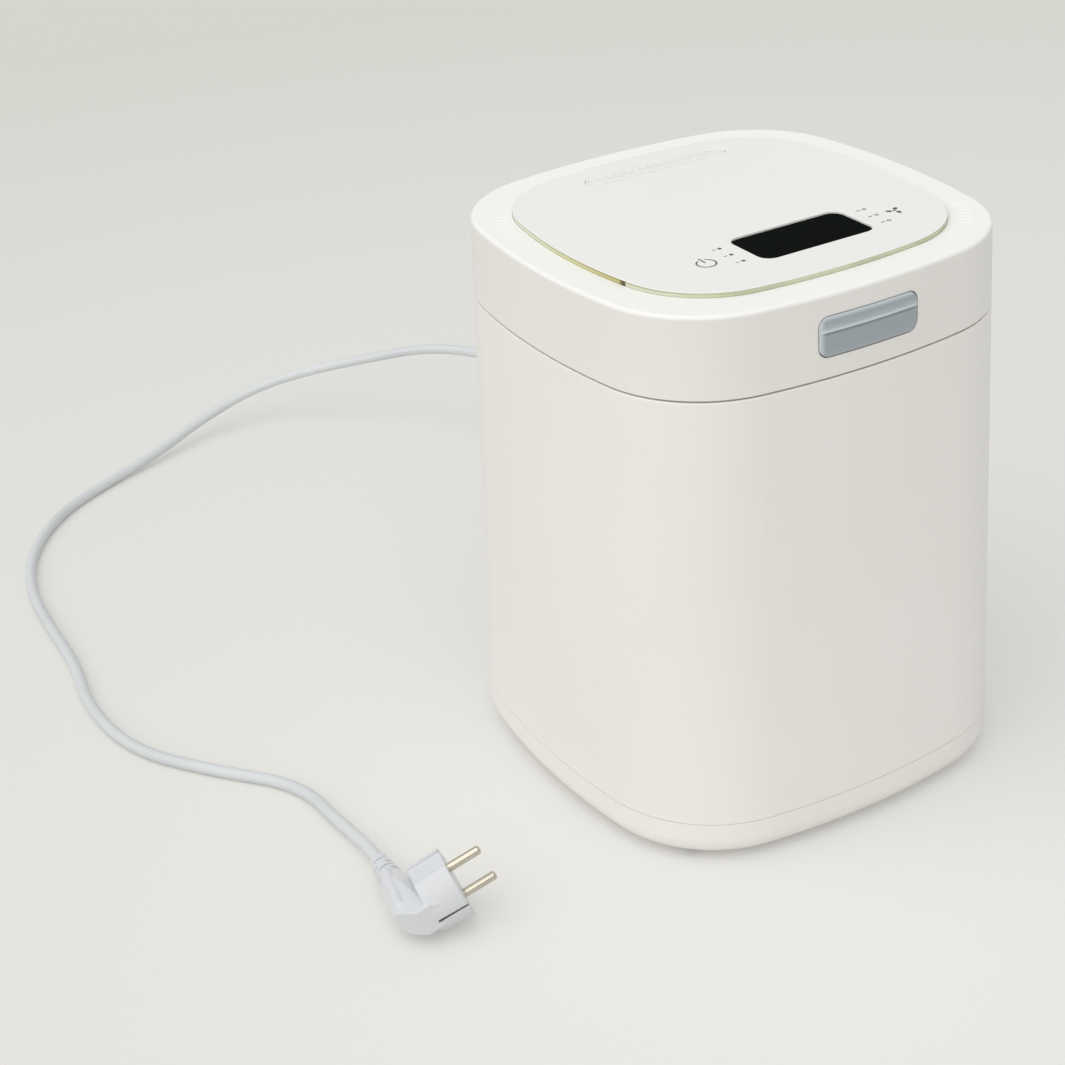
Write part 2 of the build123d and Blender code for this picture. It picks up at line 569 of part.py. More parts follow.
lid = flared(LID_BOTTOM, RIM_Z, 0)
lid = fillet(lid.faces().sort_by(Axis.Z)[-1].edges(), RIM_FILLET)
lid = chamfer(lid.faces().sort_by(Axis.Z)[0].edges(), 0.5)
lid = lid - flared(LID_BOTTOM - 1, LID_CEILING, LID_WALL)
lid = lid - glass_block(GLASS_BOTTOM, RIM_Z + 5, 0.3)
lid = lid - display_window(1.0, 300, 320) - vent_slot(1.2, 300, 320)
lid = lid - latch_prism(0.5)
for x, y in corners(SCREW_X, SCREW_Y):
    lid = lid + rod(x, y, COVER_Z + COVER_T, LID_CEILING + 1, 4.5) - rod(x, y, 260, 290, 1.6)
web = make_face(Plane.YZ * Polyline(
    (116.5, LID_BOTTOM), (HINGE_Y, LID_BOTTOM), (HINGE_Y + 3.6, HINGE_Z + 3.6), (120.2, 284.0),
    (116.5, 284.0), close=True
))
lid = lid + extrude(web, LID_KNUCKLE_HALF, both=True)
lid = lid + cross_rod(-LID_KNUCKLE_HALF, LID_KNUCKLE_HALF, HINGE_Y, HINGE_Z, KNUCKLE_R)
lid = lid - cross_rod(-60, 60, HINGE_Y, HINGE_Z, HINGE_PIN_R + RUNNING_GAP)
for side in (-1, 1):
    x0, x1 = sorted((side * LID_KNUCKLE_HALF, side * (HINGE_HALF + 0.5)))
    lid = lid - box(x0, x1, 110.0, 135.0, 260.0, HINGE_Z + KNUCKLE_R + 0.9)
save("lid_shell", lid)

# ---- glass panel, vent grille, display module and touch board ----------------------------------
panel = glass_block(GLASS_BOTTOM, GLASS_BOTTOM + GLASS_T, 0)
panel = chamfer(panel.faces().sort_by(Axis.Z)[-1].edges(), 0.4)
save("glass_panel", panel - vent_slot(0.3, 300, 320) - display_window(0.4, 300, 320))

grille_top = GLASS_BOTTOM + GLASS_T - 0.2
grille = vent_slot(0, LID_CEILING, grille_top)
SLITS = 15
for n in range(SLITS):
    x = PANEL_X - 38.0 + n * 76.0 / (SLITS - 1)
    slit = Pos(x, VENT_Y, 300) * Rot(0, 0, -32) * extrude(SlotOverall(11.0, 1.5), 20)
    grille = grille - slit
save("vent_grille", grille)

BOARD_TOP = 303.6
DISPLAY_SUNK = 1.2       # the display lies this far below the face of the panel
display = display_window(0.1, BOARD_TOP, GLASS_BOTTOM + GLASS_T - DISPLAY_SUNK)
save("display_module", chamfer(display.faces().sort_by(Axis.Z)[-1].edges(), 0.25))
touch_board = box(PANEL_X - 74, PANEL_X + 74, DISPLAY_Y - 30, DISPLAY_Y + 30, BOARD_TOP - 1.6, BOARD_TOP)
save("touch_board", touch_board)

# ---- lid inner cover with its pan, filter, fan, duct and seal ----------------------------------
PAN_Z = 263.5
PAN_R = 93.0
FILTER_HALF_X, FILTER_HALF_Y = 38.0, 29.0
fan_x, fan_y, fan_z = FAN_POS


def filter_block(inset, z0, z1):
    return Pos(fan_x, fan_y, z0) * extrude(
        Rectangle(2 * (FILTER_HALF_X - inset), 2 * (FILTER_HALF_Y - inset)), z1 - z0
    )


inner_cover = flared(COVER_Z, COVER_Z + COVER_T, LID_WALL + 0.6)
inner_cover = inner_cover + rod(0, 0, PAN_Z, COVER_Z + 1, PAN_R)
inner_cover = inner_cover - rod(0, 0, PAN_Z + COVER_T, 280, PAN_R - 2.5)
inner_cover = inner_cover - box(-6.5, 6.5, -115.5, -107.5, 260, 280)
inner_cover = inner_cover - box(-HINGE_HALF - 0.5, HINGE_HALF + 0.5, 110.0, 130.0, 260, 280)
inner_cover = inner_cover - filter_block(0, 260, 280)
for x, y in corners(SCREW_X, SCREW_Y):
    inner_cover = inner_cover - rod(x, y, 260, 280, 1.8)
save("lid_inner_cover", inner_cover)

screws = []
for x, y in corners(SCREW_X, SCREW_Y):
    screws.append(rod(x, y, COVER_Z - 2.0, COVER_Z, 3.4) + rod(x, y, COVER_Z, 284.0, 1.6))
save("lid_screws", *screws)

filter_cover = filter_block(0.3, PAN_Z, PAN_Z + COVER_T)
for column in range(9):
    x = fan_x - 28.0 + column * 7.0
    for row in (-1, 1):
        slot = Pos(x, fan_y + row * 13.0, 255) * extrude(Rot(0, 0, 90) * SlotOverall(20, 3.2), 20)
        filter_cover = filter_cover - slot
save("filter_cover", filter_cover)

save("carbon_filter", filter_block(0.5, PAN_Z + COVER_T, fan_z - 2.0))

FAN_HALF = 30.0
FAN_BORE = 27.5
FAN_T = 13.0
frame = Pos(fan_x, fan_y, fan_z + FAN_T / 2) * Box(2 * FAN_HALF, 2 * FAN_HALF, FAN_T)
frame = fillet(frame.edges().filter_by(Axis.Z), 4)
frame = frame - rod(fan_x, fan_y, fan_z - 1, fan_z + FAN_T + 1, FAN_BORE)
frame = frame + rod(fan_x, fan_y, fan_z, fan_z + 2.0, 12.0)
for strut in (45, 135):
    bar = Pos(fan_x, fan_y, fan_z + 1.0) * Rot(0, 0, strut) * Box(2 * FAN_BORE + 2, 3.0, 2.0)
    frame = frame + bar
frame = frame - rod(fan_x, fan_y, fan_z - 1, fan_z + 5, 1.5 + RUNNING_GAP)
save("fan_housing", frame)

rotor = rod(0, 0, fan_z + 2.4, fan_z + 12.0, 11.5) + rod(0, 0, fan_z + 0.4, fan_z + 3.0, 1.5)
rotor = fillet(rotor.faces().sort_by(Axis.Z)[-1].edges(), 1.5)
FAN_BLADES = 7
for n in range(FAN_BLADES):
    root = Plane(origin=(10.5, 0, fan_z + 7.2), x_dir=(0, 1, 0), z_dir=(1, 0, 0)) * Rot(0, 0, 38)
    tip = Plane(origin=(25.6, 0, fan_z + 7.2), x_dir=(0, 1, 0), z_dir=(1, 0, 0)) * Rot(0, 0, 26)
    vane = loft([root * Rectangle(10.5, 1.4), tip * Rectangle(14.0, 1.1)])
    rotor = rotor + Rot(0, 0, n * 360 / FAN_BLADES) * vane
save("fan_rotor", Pos(fan_x, fan_y, 0) * rotor)

duct_z = fan_z + FAN_T
duct = box(fan_x - 31, PANEL_X + 48, fan_y - 31, VENT_Y + 11, duct_z, LID_CEILING)
duct = duct - box(fan_x - 29, PANEL_X + 46, fan_y - 29, VENT_Y + 9, duct_z + 2, LID_CEILING - 2)
duct = duct - rod(fan_x, fan_y, duct_z - 1, duct_z + 5, FAN_BORE)
duct = duct - vent_slot(-2.0, LID_CEILING - 5, LID_CEILING + 5)
save("air_duct", duct)

seal = turned([
    (94.0, COVER_Z), (101.5, COVER_Z), (101.5, 268.2), (100.2, 266.6), (98.2, 265.6), (96.4, 266.4),
    (95.4, 268.2), (94.0, 268.2),
])
save("lid_seal", seal)

# ---- latch: sprung button, its frame, and the hook that it turns -------------------------------
BUTTON_PROUD = 1.0
BUTTON_BACK = 4.2
BUTTON_EDGE = 1.6
GRIP_TOP_Z = LATCH_Z + 0.12 * LATCH_H
GRIP_H = 3.0
GRIP_STEP = 0.8
button = (flared(270, 308, -BUTTON_PROUD) - flared(269, 309, BUTTON_BACK)) & latch_prism(0)
button = fillet(button.faces().sort_by(Axis.Y)[0].edges(), BUTTON_EDGE)
grip_low = body_section(GRIP_TOP_Z - GRIP_H, -BUTTON_PROUD - GRIP_STEP).outer_wire()
grip_high = body_section(GRIP_TOP_Z, -BUTTON_PROUD).outer_wire()
grip = (Solid.make_loft([grip_low, grip_high], True) & latch_prism(-0.6)) - flared(260, 320, 1.0)
flange = (flared(270, 308, LID_WALL + 0.4) - flared(269, 309, BUTTON_BACK)) & latch_prism(2.8)
pivot_y, pivot_z = HOOK_PIVOT
push_pad = box(-5, 5, -half_depth(299, BUTTON_BACK) - 0.6, pivot_y - 2.2, 298.0, 300.0)
save("latch_button", button + grip + flange + push_pad)

FRAME_Y = -108.0
latch_frame = box(-34.5, 34.5, FRAME_Y, FRAME_Y + 2.2, 277.0, LID_CEILING)
latch_frame = latch_frame + box(-34.5, 34.5, FRAME_Y, FRAME_Y + 12.0, LID_CEILING - 2.2, LID_CEILING)
latch_frame = latch_frame - box(-7.5, 7.5, -120, FRAME_Y + 8, 270.0, 303.0)
for side in (-1, 1):
    x0, x1 = sorted((side * 7.5, side * 9.7))
    latch_frame = latch_frame + box(x0, x1, pivot_y - 2.6, FRAME_Y + 2.2, 279.0, 302.0)
    x0, x1 = sorted((side * 33.0, side * 34.5))
    latch_frame = latch_frame + box(x0, x1, -114.0, FRAME_Y + 1, 277.0, LID_CEILING)
latch_frame = latch_frame - cross_rod(-20, 20, pivot_y, pivot_z, 1.5)
save("latch_frame", latch_frame)
save("hook_pin", cross_rod(-9.7, 9.7, pivot_y, pivot_z, 1.5))

hook_outline = make_face(Plane.YZ * Polyline(
    (pivot_y - 2.0, 301.0), (pivot_y + 1.2, 301.0), (pivot_y + 1.2, pivot_z), (pivot_y + 1.0, 257.8),
    (pivot_y + 4.2, 257.8), (pivot_y + 2.6, 254.5), (pivot_y - 2.0, 254.5), (pivot_y - 2.0, pivot_z),
    close=True
))
hook = extrude(hook_outline, 5.0, both=True) + cross_rod(-5, 5, pivot_y, pivot_z, 3.3)
save("latch_hook", hook - cross_rod(-20, 20, pivot_y, pivot_z, 1.5 + RUNNING_GAP))

springs = []
spring_back = FRAME_Y - 0.1
spring_front = -half_depth(LATCH_Z, BUTTON_BACK) + 20.0**2 / (2 * SIDE_R) + 0.6
for x in (-20.0, 20.0):
    length = spring_back - spring_front
    coil = Helix(pitch=length / 4.2, height=length - 0.8, radius=2.8)
    wire = sweep(Plane(origin=coil @ 0, z_dir=coil % 0) * Rectangle(0.7, 0.7), path=coil)
    springs.append(Pos(x, spring_front + 0.4, LATCH_Z) * Rot(-90, 0, 0) * wire)
save("latch_springs", *springs)

# ---- cord: gland, tube along the floor, and the angled two-pin plug ----------------------------
GLAND_TIP = 162.0
gland_start = entry_y - 7.4
gland_l = GLAND_TIP - gland_start
gland = turned([
    (0, 0), (10.0, 0), (10.0, 2.4), (7.0, 2.4), (7.0, 9.1), (9.6, 9.1), (9.6, 11.6), (7.6, 12.8),
    (7.3, 16.4), (6.2, 16.7), (6.1, 18.7), (7.0, 19.0), (6.7, 22.4), (5.7, 22.7), (5.6, 24.7),
    (6.4, 25.0), (6.1, 28.4),
    (5.2, 28.7), (5.1, 30.7), (5.8, 31.0), (5.4, 37.0), (4.6, gland_l), (0, gland_l),
])
save("cord_gland", Pos(GLAND_X, gland_start, GLAND_Z) * Rot(-90, 0, 0) * gland)

PLUG_FACE = Vector(-225.3, -74.1, 24.3)
PLUG_AZIMUTH, PLUG_LIFT, PLUG_TILT = -11.8, 21.8, 3.3
PLUG_R = 19.4
PIN_SPACING, PIN_R, PIN_L, PIN_SEAT = 19.0, 2.4, 19.0, 8.0
EARTH_Z = 3.0            # offset of each earth slit from the middle
azimuth, lift, tilt = (math.radians(a) for a in (PLUG_AZIMUTH, PLUG_LIFT, PLUG_TILT))
pin_way = Vector(math.cos(azimuth) * math.cos(lift), math.sin(azimuth) * math.cos(lift), math.sin(lift))
level = pin_way.cross(Vector(0, 0, 1)).normalized()
upright = level.cross(pin_way)
plug_up = upright * math.cos(tilt) - level * math.sin(tilt)
plug_plane = Plane(origin=PLUG_FACE, x_dir=pin_way, z_dir=plug_up)

CORD_BACK = 29.0         # from the plug's face back to the middle of its handle
HANDLE_END = 24.0
RELIEF_L = 28.0
RELIEF_BEND = 7.0
turn_x = Rot(0, 90, 0)
HEAD_L = 19.0
HANDLE_LOW, HANDLE_HIGH = -7.5, 9.0
plug = turn_x * Pos(0, 0, -HEAD_L / 2) * Cone(PLUG_R - 0.9, PLUG_R, HEAD_L)
handle = Polyline(
    (-9, -18), (-25, -18), (-36.5, -7), (-36.5, 14), (-35, HANDLE_END + 2), (-23, HANDLE_END + 2),
    (-17, 15), (-9, 15), close=True
)
handle = Pos(0, 0, HANDLE_LOW) * extrude(make_face(handle), HANDLE_HIGH - HANDLE_LOW)
handle = chamfer(handle.edges().filter_by(Axis.Y).group_by(Axis.X)[0], 3.5)
for face_z, above in ((HANDLE_LOW, -25), (HANDLE_HIGH, 25)):
    along = Vector(-9, 31, 0)
    down = Vector(0, 31, -0.6 * face_z)
    slope = Plane(origin=(-17.5, -15, face_z), x_dir=along, z_dir=down.cross(along))
    handle = handle - slope * Pos(0, 0, above) * Box(120, 120, 50)
plug = plug + handle
bend = math.radians(RELIEF_BEND)
relief_way = Vector(-math.sin(bend), math.cos(bend), 0)
relief_plane = Plane(origin=(-CORD_BACK, HANDLE_END, 0), x_dir=(0, 0, 1), z_dir=relief_way)
relief = Pos(0, 0, RELIEF_L / 2) * Cone(7.4, 4.7, RELIEF_L)
for ring in range(4):
    z = 8.0 + ring * 4.6
    for side in (-1, 1):
        slot = Pos(side * 6.0, 0, z) if ring % 2 else Pos(0, side * 6.0, z)
        relief = relief - slot * Box(7 + 4 * (ring % 2 == 0), 7 + 4 * (ring % 2), 1.5)
plug = plug + relief_plane * relief
ridge_end = (-CORD_BACK - 1.7, -3.3, 7.0)
plug = plug + deep_rod(ridge_end[0], ridge_end[1], HANDLE_END + 4, ridge_end[2], 3.4)
plug = plug + Pos(ridge_end) * Sphere(3.4)
for side in (-1, 1):
    slit_y, slit_z = side * 18.6, side * EARTH_Z
    plug = plug - box(-17.4, 1, slit_y - 2, slit_y + 2, slit_z - 0.7, slit_z + 0.7)
    plug = plug - box(-HEAD_L - 1, 1, -7.3, 7.3, side * 18.8 - 3.5, side * 18.8 + 3.5)
    plug = plug - Pos(-PIN_SEAT / 2, 0, side * PIN_SPACING / 2) * turn_x * Cylinder(PIN_R, PIN_SEAT)
save("plug_body", plug_plane * plug)

clips = []
for side in (-1, 1):
    y0, y1 = sorted((side * 16.6, side * 18.2))
    clips.append(plug_plane * box(-17.0, 0.0, y0, y1, side * EARTH_Z - 0.5, side * EARTH_Z + 0.5))
save("plug_earth_clips", *clips)

pins = []
for side in (-1, 1):
    middle = Pos((PIN_L - PIN_SEAT) / 2, 0, side * PIN_SPACING / 2)
    pin = middle * turn_x * Cylinder(PIN_R, PIN_L + PIN_SEAT)
    pins.append(plug_plane * fillet(pin.edges().sort_by(Axis.X)[-1], 1.6))
save("plug_pins", *pins)

relief_tip = relief_plane.from_local_coords(Vector(0, 0, RELIEF_L))
relief_lead = relief_plane.from_local_coords(Vector(0, 0, RELIEF_L + 17))
plug_end = plug_plane.from_local_coords(relief_tip)
plug_lead = plug_plane.from_local_coords(relief_lead)
CORD_ROUTE = [
    (GLAND_X, GLAND_TIP, GLAND_Z), (50, 204, 72), (53, 252, 72.6), (59, 302, 72.4), (71, 354, 70.5),
    (71, 409, 66), (48, 462, 59), (10, 493, 49), (-24, 525, 37), (-61, 548, 24.5), (-109, 543, 13.5),
    (-154, 523, 6.5), (-200, 506, 3.6), (-244, 482, 3.6), (-280, 440, 3.6), (-300, 388, 3.6),
    (-305, 331, 3.6), (-307, 279, 3.6), (-318, 225, 3.6), (-312, 166, 3.6), (-281, 120, 3.6),
    (-245, 78, 3.6), (-243, 30, 4.8),
    (plug_lead.X, plug_lead.Y, plug_lead.Z), (plug_end.X, plug_end.Y, plug_end.Z),
]


def corner_radii(route):
    """Each arc takes 0.45 of the shorter of its two runs."""
    radii = []
    for a, b, c in zip(route, route[1:], route[2:]):
        before, after = Vector(*b) - Vector(*a), Vector(*c) - Vector(*b)
        half_turn = math.radians(before.get_angle(after)) / 2
        radii.append(0.45 * min(before.length, after.length) / math.tan(half_turn))
    return radii


radii = corner_radii(CORD_ROUTE)
runs = [(Vector(*b) - Vector(*a)).length for a, b in zip(CORD_ROUTE, CORD_ROUTE[1:])]
print("cord runs", [round(r, 1) for r in runs])
print("cord radii", [round(r, 1) for r in radii])
path = FilletPolyline(*CORD_ROUTE, radius=radii)
start = Plane(origin=path @ 0, z_dir=path % 0)
cord = sweep(start * Circle(CORD_R), path=path)
volume_ratio = cord.volume / (math.pi * CORD_R**2 * path.length)
print("cord length", round(path.length, 1), "volume ratio", round(volume_ratio, 4))
print("plug end", plug_end, "lead", plug_lead)
save("power_cord", cord)
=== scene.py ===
import bpy
import bmesh
import math
import numpy
from mathutils import Matrix, Vector


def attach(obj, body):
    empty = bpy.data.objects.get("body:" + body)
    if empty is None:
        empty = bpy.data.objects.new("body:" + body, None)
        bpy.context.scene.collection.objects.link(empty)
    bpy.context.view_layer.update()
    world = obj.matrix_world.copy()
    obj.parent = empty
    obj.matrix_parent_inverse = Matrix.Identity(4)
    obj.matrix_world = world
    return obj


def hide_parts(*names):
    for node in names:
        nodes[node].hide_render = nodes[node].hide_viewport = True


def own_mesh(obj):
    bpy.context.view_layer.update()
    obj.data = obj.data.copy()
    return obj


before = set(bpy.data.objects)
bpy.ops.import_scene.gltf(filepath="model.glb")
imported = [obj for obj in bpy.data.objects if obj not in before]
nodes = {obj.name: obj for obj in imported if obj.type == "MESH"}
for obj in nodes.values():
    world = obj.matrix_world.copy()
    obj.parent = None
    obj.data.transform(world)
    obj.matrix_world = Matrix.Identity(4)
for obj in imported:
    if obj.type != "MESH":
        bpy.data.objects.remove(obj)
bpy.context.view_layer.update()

# ---- Camera --------------------------------------------------------------------------------------
# It stands at chest height in front of the bin and to its left, and looks down on the lid.
# A long lens keeps the sides nearly upright, and the frame is turned a little on its axis.
CAMERA_PLACE = Vector((-0.60522, -0.87264, 0.71036))
CAMERA_RIGHT = Vector((0.85987, -0.50729, -0.05716))
CAMERA_UP = Vector((0.28829, 0.39011, 0.87447))
CAMERA_LENS_MM, CAMERA_SENSOR_MM = 72.626, 36.0


def new_object(name, data):
    """Object in the scene with this mesh, curve, camera or lamp."""
    made = bpy.data.objects.new(name, data)
    bpy.context.scene.collection.objects.link(made)
    return made


camera_data = bpy.data.cameras.new("studio_camera")
camera_data.sensor_width = CAMERA_SENSOR_MM
camera_data.lens = CAMERA_LENS_MM
camera = new_object("studio_camera", camera_data)
camera_turn = Matrix((CAMERA_RIGHT, CAMERA_UP, CAMERA_RIGHT.cross(CAMERA_UP))).transposed()
camera.matrix_world = Matrix.Translation(CAMERA_PLACE) @ camera_turn.to_4x4()
bpy.context.scene.camera = camera
bpy.context.scene.view_settings.view_transform = "Standard"

# ---- Studio light --------------------------------------------------------------------------------
# An even sky and one large soft lamp, high on the left and a little in front of the bin, keep the
# shadows faint and the colours true. The grey wall shows only directly or mirrored in metal.
SKY_COLOUR, SKY_STRENGTH = (0.965, 0.985, 1.0, 1.0), 0.60
WALL_COLOUR = (0.645, 0.656, 0.622, 1.0)
KEY_COLOUR, KEY_STRENGTH = (1.0, 0.978, 0.960), 1.60
KEY_SPREAD = 85.0
KEY_TOWARDS = Vector((0.62, 0.26, -1.0))


def feed(tree, socket, value):
    """Links another node's output to an input, or sets the input's constant."""
    if isinstance(value, bpy.types.NodeSocket):
        tree.links.new(value, socket)
    else:
        socket.default_value = value


def fill(tree, node, **inputs):
    """Sets a node's inputs by name, where an underscore stands for a space."""
    for name, value in inputs.items():
        feed(tree, node.inputs[name.replace("_", " ")], value)
    return node


def add_node(tree, kind, **inputs):
    """A shader node with its inputs set."""
    return fill(tree, tree.nodes.new("ShaderNode" + kind), **inputs)


def calc(tree, operation, *values):
    """Result of a Math node."""
    node = tree.nodes.new("ShaderNodeMath")
    node.operation = operation
    for socket, value in zip(node.inputs, values):
        feed(tree, socket, value)
    return node.outputs[0]


def looking_rays(tree):
    """1 for rays from the camera and for those that metal or glass sends on, 0 for all others."""
    kinds = tree.nodes.new("ShaderNodeLightPath").outputs
    mirrored = calc(tree, "MAXIMUM", kinds["Is Glossy Ray"], kinds["Is Transmission Ray"])
    return calc(tree, "MAXIMUM", kinds["Is Camera Ray"], mirrored)


world = bpy.data.worlds.new("studio_sky")
bpy.context.scene.world = world
world.use_nodes = True
sky_tree = world.node_tree
sky = fill(sky_tree, sky_tree.nodes["Background"], Color=SKY_COLOUR, Strength=SKY_STRENGTH)
wall = add_node(sky_tree, "Background", Color=WALL_COLOUR)
wall_or_sky = add_node(sky_tree, "MixShader", Fac=looking_rays(sky_tree))
feed(sky_tree, wall_or_sky.inputs[1], sky.outputs[0])
feed(sky_tree, wall_or_sky.inputs[2], wall.outputs[0])
fill(sky_tree, sky_tree.nodes["World Output"], Surface=wall_or_sky.outputs[0])
key_data = bpy.data.lights.new("key_lamp", "SUN")
key_data.energy = KEY_STRENGTH
key_data.angle = math.radians(KEY_SPREAD)
key_data.color = KEY_COLOUR
key_lamp = new_object("key_lamp", key_data)
key_lamp.rotation_euler = KEY_TOWARDS.to_track_quat("-Z", "Y").to_euler()

# ---- Floor ---------------------------------------------------------------------------------------
# A wide sheet of pale studio paper, matt, with a painted pool of light: palest just in front of the
# bin and greyer with distance. A painted glow, seen only by the camera and in mirrors, keeps the
# shadows of bin, cord and plug faint.
FLOOR_HALF = 30.0
# Share of the floor's colour that is a painted glow, seen only by the camera and in mirrors.
FLOOR_PAINTED_GLOW = 0.30
FLOOR_LIGHT_POOL_CENTRE, FLOOR_LIGHT_POOL_REACH = (-0.10, -0.20, 0.0), 1.8
FLOOR_ROUGH, FLOOR_SHINE = 0.95, 0.1
# Painted pool of light: the paper's tones from the pool's centre outwards.
FLOOR_LIGHT_POOL_TONES = [
    (0.0, (234, 233, 229)), (0.22, (228, 227, 223)),
    (0.55, (222, 221, 217)), (1.0, (213, 213, 206)),
]
BLACK = (0.0, 0.0, 0.0, 1.0)


def shown(red, green, blue):
    """Linear colour from the values that it shows on a screen, 0 to 255."""
    parts = [v / 255.0 for v in (red, green, blue)]
    linear = [v / 12.92 if v < 0.04045 else ((v + 0.055) / 1.055) ** 2.4 for v in parts]
    return (*linear, 1.0)


def new_material(name):
    """A material with its tree, its shader and the object's own coordinates."""
    material = bpy.data.materials.new(name)
    material.use_nodes = True
    tree = material.node_tree
    place = tree.nodes.new("ShaderNodeTexCoord").outputs["Object"]
    return material, tree, tree.nodes["Principled BSDF"], place


def remap(tree, value, start, end, low=0.0, high=1.0):
    """A value that runs from start to end, stretched to run from low to high."""
    node = add_node(tree, "MapRange", Value=value, From_Min=start, From_Max=end, To_Min=low,
                    To_Max=high)
    return node.outputs["Result"]


def tone_ramp(tree, factor, tones):
    """Colour along a list of (position, screen colour) stops."""
    ramp = add_node(tree, "ValToRGB", Fac=factor)
    stops = ramp.color_ramp.elements
    while len(stops) < len(tones):
        stops.new(0.5)
    for stop, (position, colour) in zip(stops, tones):
        stop.position = position
        stop.color = shown(*colour)
    return ramp.outputs["Color"]


def mix_colours(tree, factor, first, second, blend="MIX"):
    """Colour from the first towards the second."""
    node = add_node(tree, "Mix", Factor=factor)
    node.data_type = "RGBA"
    node.blend_type = blend
    feed(tree, node.inputs[6], first)
    feed(tree, node.inputs[7], second)
    return node.outputs[2]


floor_mesh = bpy.data.meshes.new("studio_floor")
floor_signs = ((-1, -1), (1, -1), (1, 1), (-1, 1))
floor_corners = [(x * FLOOR_HALF, y * FLOOR_HALF, 0.0) for x, y in floor_signs]
floor_mesh.from_pydata(floor_corners, [], [(0, 1, 2, 3)])
floor = new_object("studio_floor", floor_mesh)
paper, paper_tree, paper_shader, paper_place = new_material("studio_paper")
away = add_node(paper_tree, "VectorMath")
away.operation = "DISTANCE"
feed(paper_tree, away.inputs[0], paper_place)
feed(paper_tree, away.inputs[1], FLOOR_LIGHT_POOL_CENTRE)
light_pool_share = remap(paper_tree, away.outputs["Value"], 0.0, FLOOR_LIGHT_POOL_REACH)
lit_paper_tones = tone_ramp(paper_tree, light_pool_share, FLOOR_LIGHT_POOL_TONES)
# Painted glow, seen only by the camera and in mirrors, that lifts the shadows on the paper.
glow = calc(paper_tree, "MULTIPLY", looking_rays(paper_tree), FLOOR_PAINTED_GLOW)
fill(paper_tree, paper_shader, Roughness=FLOOR_ROUGH, Specular_IOR_Level=FLOOR_SHINE,
     Base_Color=mix_colours(paper_tree, glow, lit_paper_tones, BLACK),
     Emission_Color=lit_paper_tones, Emission_Strength=glow)
floor_mesh.materials.append(paper)

# ---- Base tray and rubber feet -------------------------------------------------------------------
# The tray is injection-moulded white ABS that closes the bin from below, with vent slots and four
# deep screw pits. Four moulded rubber feet snap into it through their stems.
NOISE_LOW, NOISE_HIGH = 0.3, 0.7
PLASTIC_SHEEN = 0.05
WHITE_ABS, WHITE_ABS_SHADE = (238, 235, 231), (235, 232, 227)


def dress(material, *names):
    """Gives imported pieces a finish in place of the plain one."""
    for name in names:
        slots = nodes[name].data.materials
        slots.clear()
        slots.append(material)


def noise(tree, place, scale, detail, rough=0.5):
    """Soft noise, most of which lies between NOISE_LOW and NOISE_HIGH."""
    node = add_node(tree, "TexNoise", Vector=place, Scale=scale, Detail=detail, Roughness=rough)
    return node.outputs["Fac"]


def sheen(tree, pattern, rough, spread):
    """Roughness that follows a noise, by this much to either side."""
    return remap(tree, pattern, NOISE_LOW, NOISE_HIGH, rough - spread, rough + spread)


def relief(tree, height, depth):
    """Surface direction over a height pattern that is this many metres deep."""
    return add_node(tree, "Bump", Height=height, Strength=1.0, Distance=depth).outputs["Normal"]


def moulded(name, colour, shade, rough, grain=1400.0, depth=0.00002, drift=7.0):
    """Moulded plastic or rubber: tone and sheen drift slowly, and a fine spark grain covers it."""
    material, tree, shader, place = new_material(name)
    slow = noise(tree, place, drift, 3.0, 0.55)
    fill(tree, shader, Base_Color=tone_ramp(tree, slow, [(NOISE_LOW, shade), (NOISE_HIGH, colour)]),
         Roughness=sheen(tree, slow, rough, PLASTIC_SHEEN),
         Normal=relief(tree, noise(tree, place, grain, 2.0), depth))
    return material


white_abs = moulded("white_abs", WHITE_ABS, WHITE_ABS_SHADE, 0.40)
foot_rubber = moulded("foot_rubber", (52, 52, 54), (40, 40, 42), 0.72, grain=900.0, depth=0.00006)
dress(white_abs, "base_tray")
dress(foot_rubber, "rubber_feet")

# ---- Outer housing -------------------------------------------------------------------------------
# One tall moulding in the same white ABS, flared towards the floor, with a fine satin finish.
# It drops over the tray's spigot, and its rear wall has the louvres and the cord's entry.
dress(white_abs, "outer_housing")

# ---- Seam strip ----------------------------------------------------------------------------------
# A thin strip of the housing's white ABS that closes the joint between tray and housing. It is
# welded to the tray's ledge, follows the bowed outline of the walls and sits back a little from it.
MM = 0.001
RIM_TOP_Z = 311.5
RIM_HALF, RIM_SIDE_R, RIM_CORNER_R = (118.0, 119.5), (396.0, 396.0), 62.5
WALL_DRAFT = 0.030
SEAM_LOW_Z, SEAM_HIGH_Z = 25.02, 25.38
STRIP_SET_BACK, STRIP_WIDTH = 0.35, 1.1
WELD_DISTANCE = 0.000001
EDGE_STEPS = 3


def on_circle(centre, radius, turn):
    """Point on a circle at an angle in radians."""
    return centre + radius * Vector((math.cos(turn), math.sin(turn)))


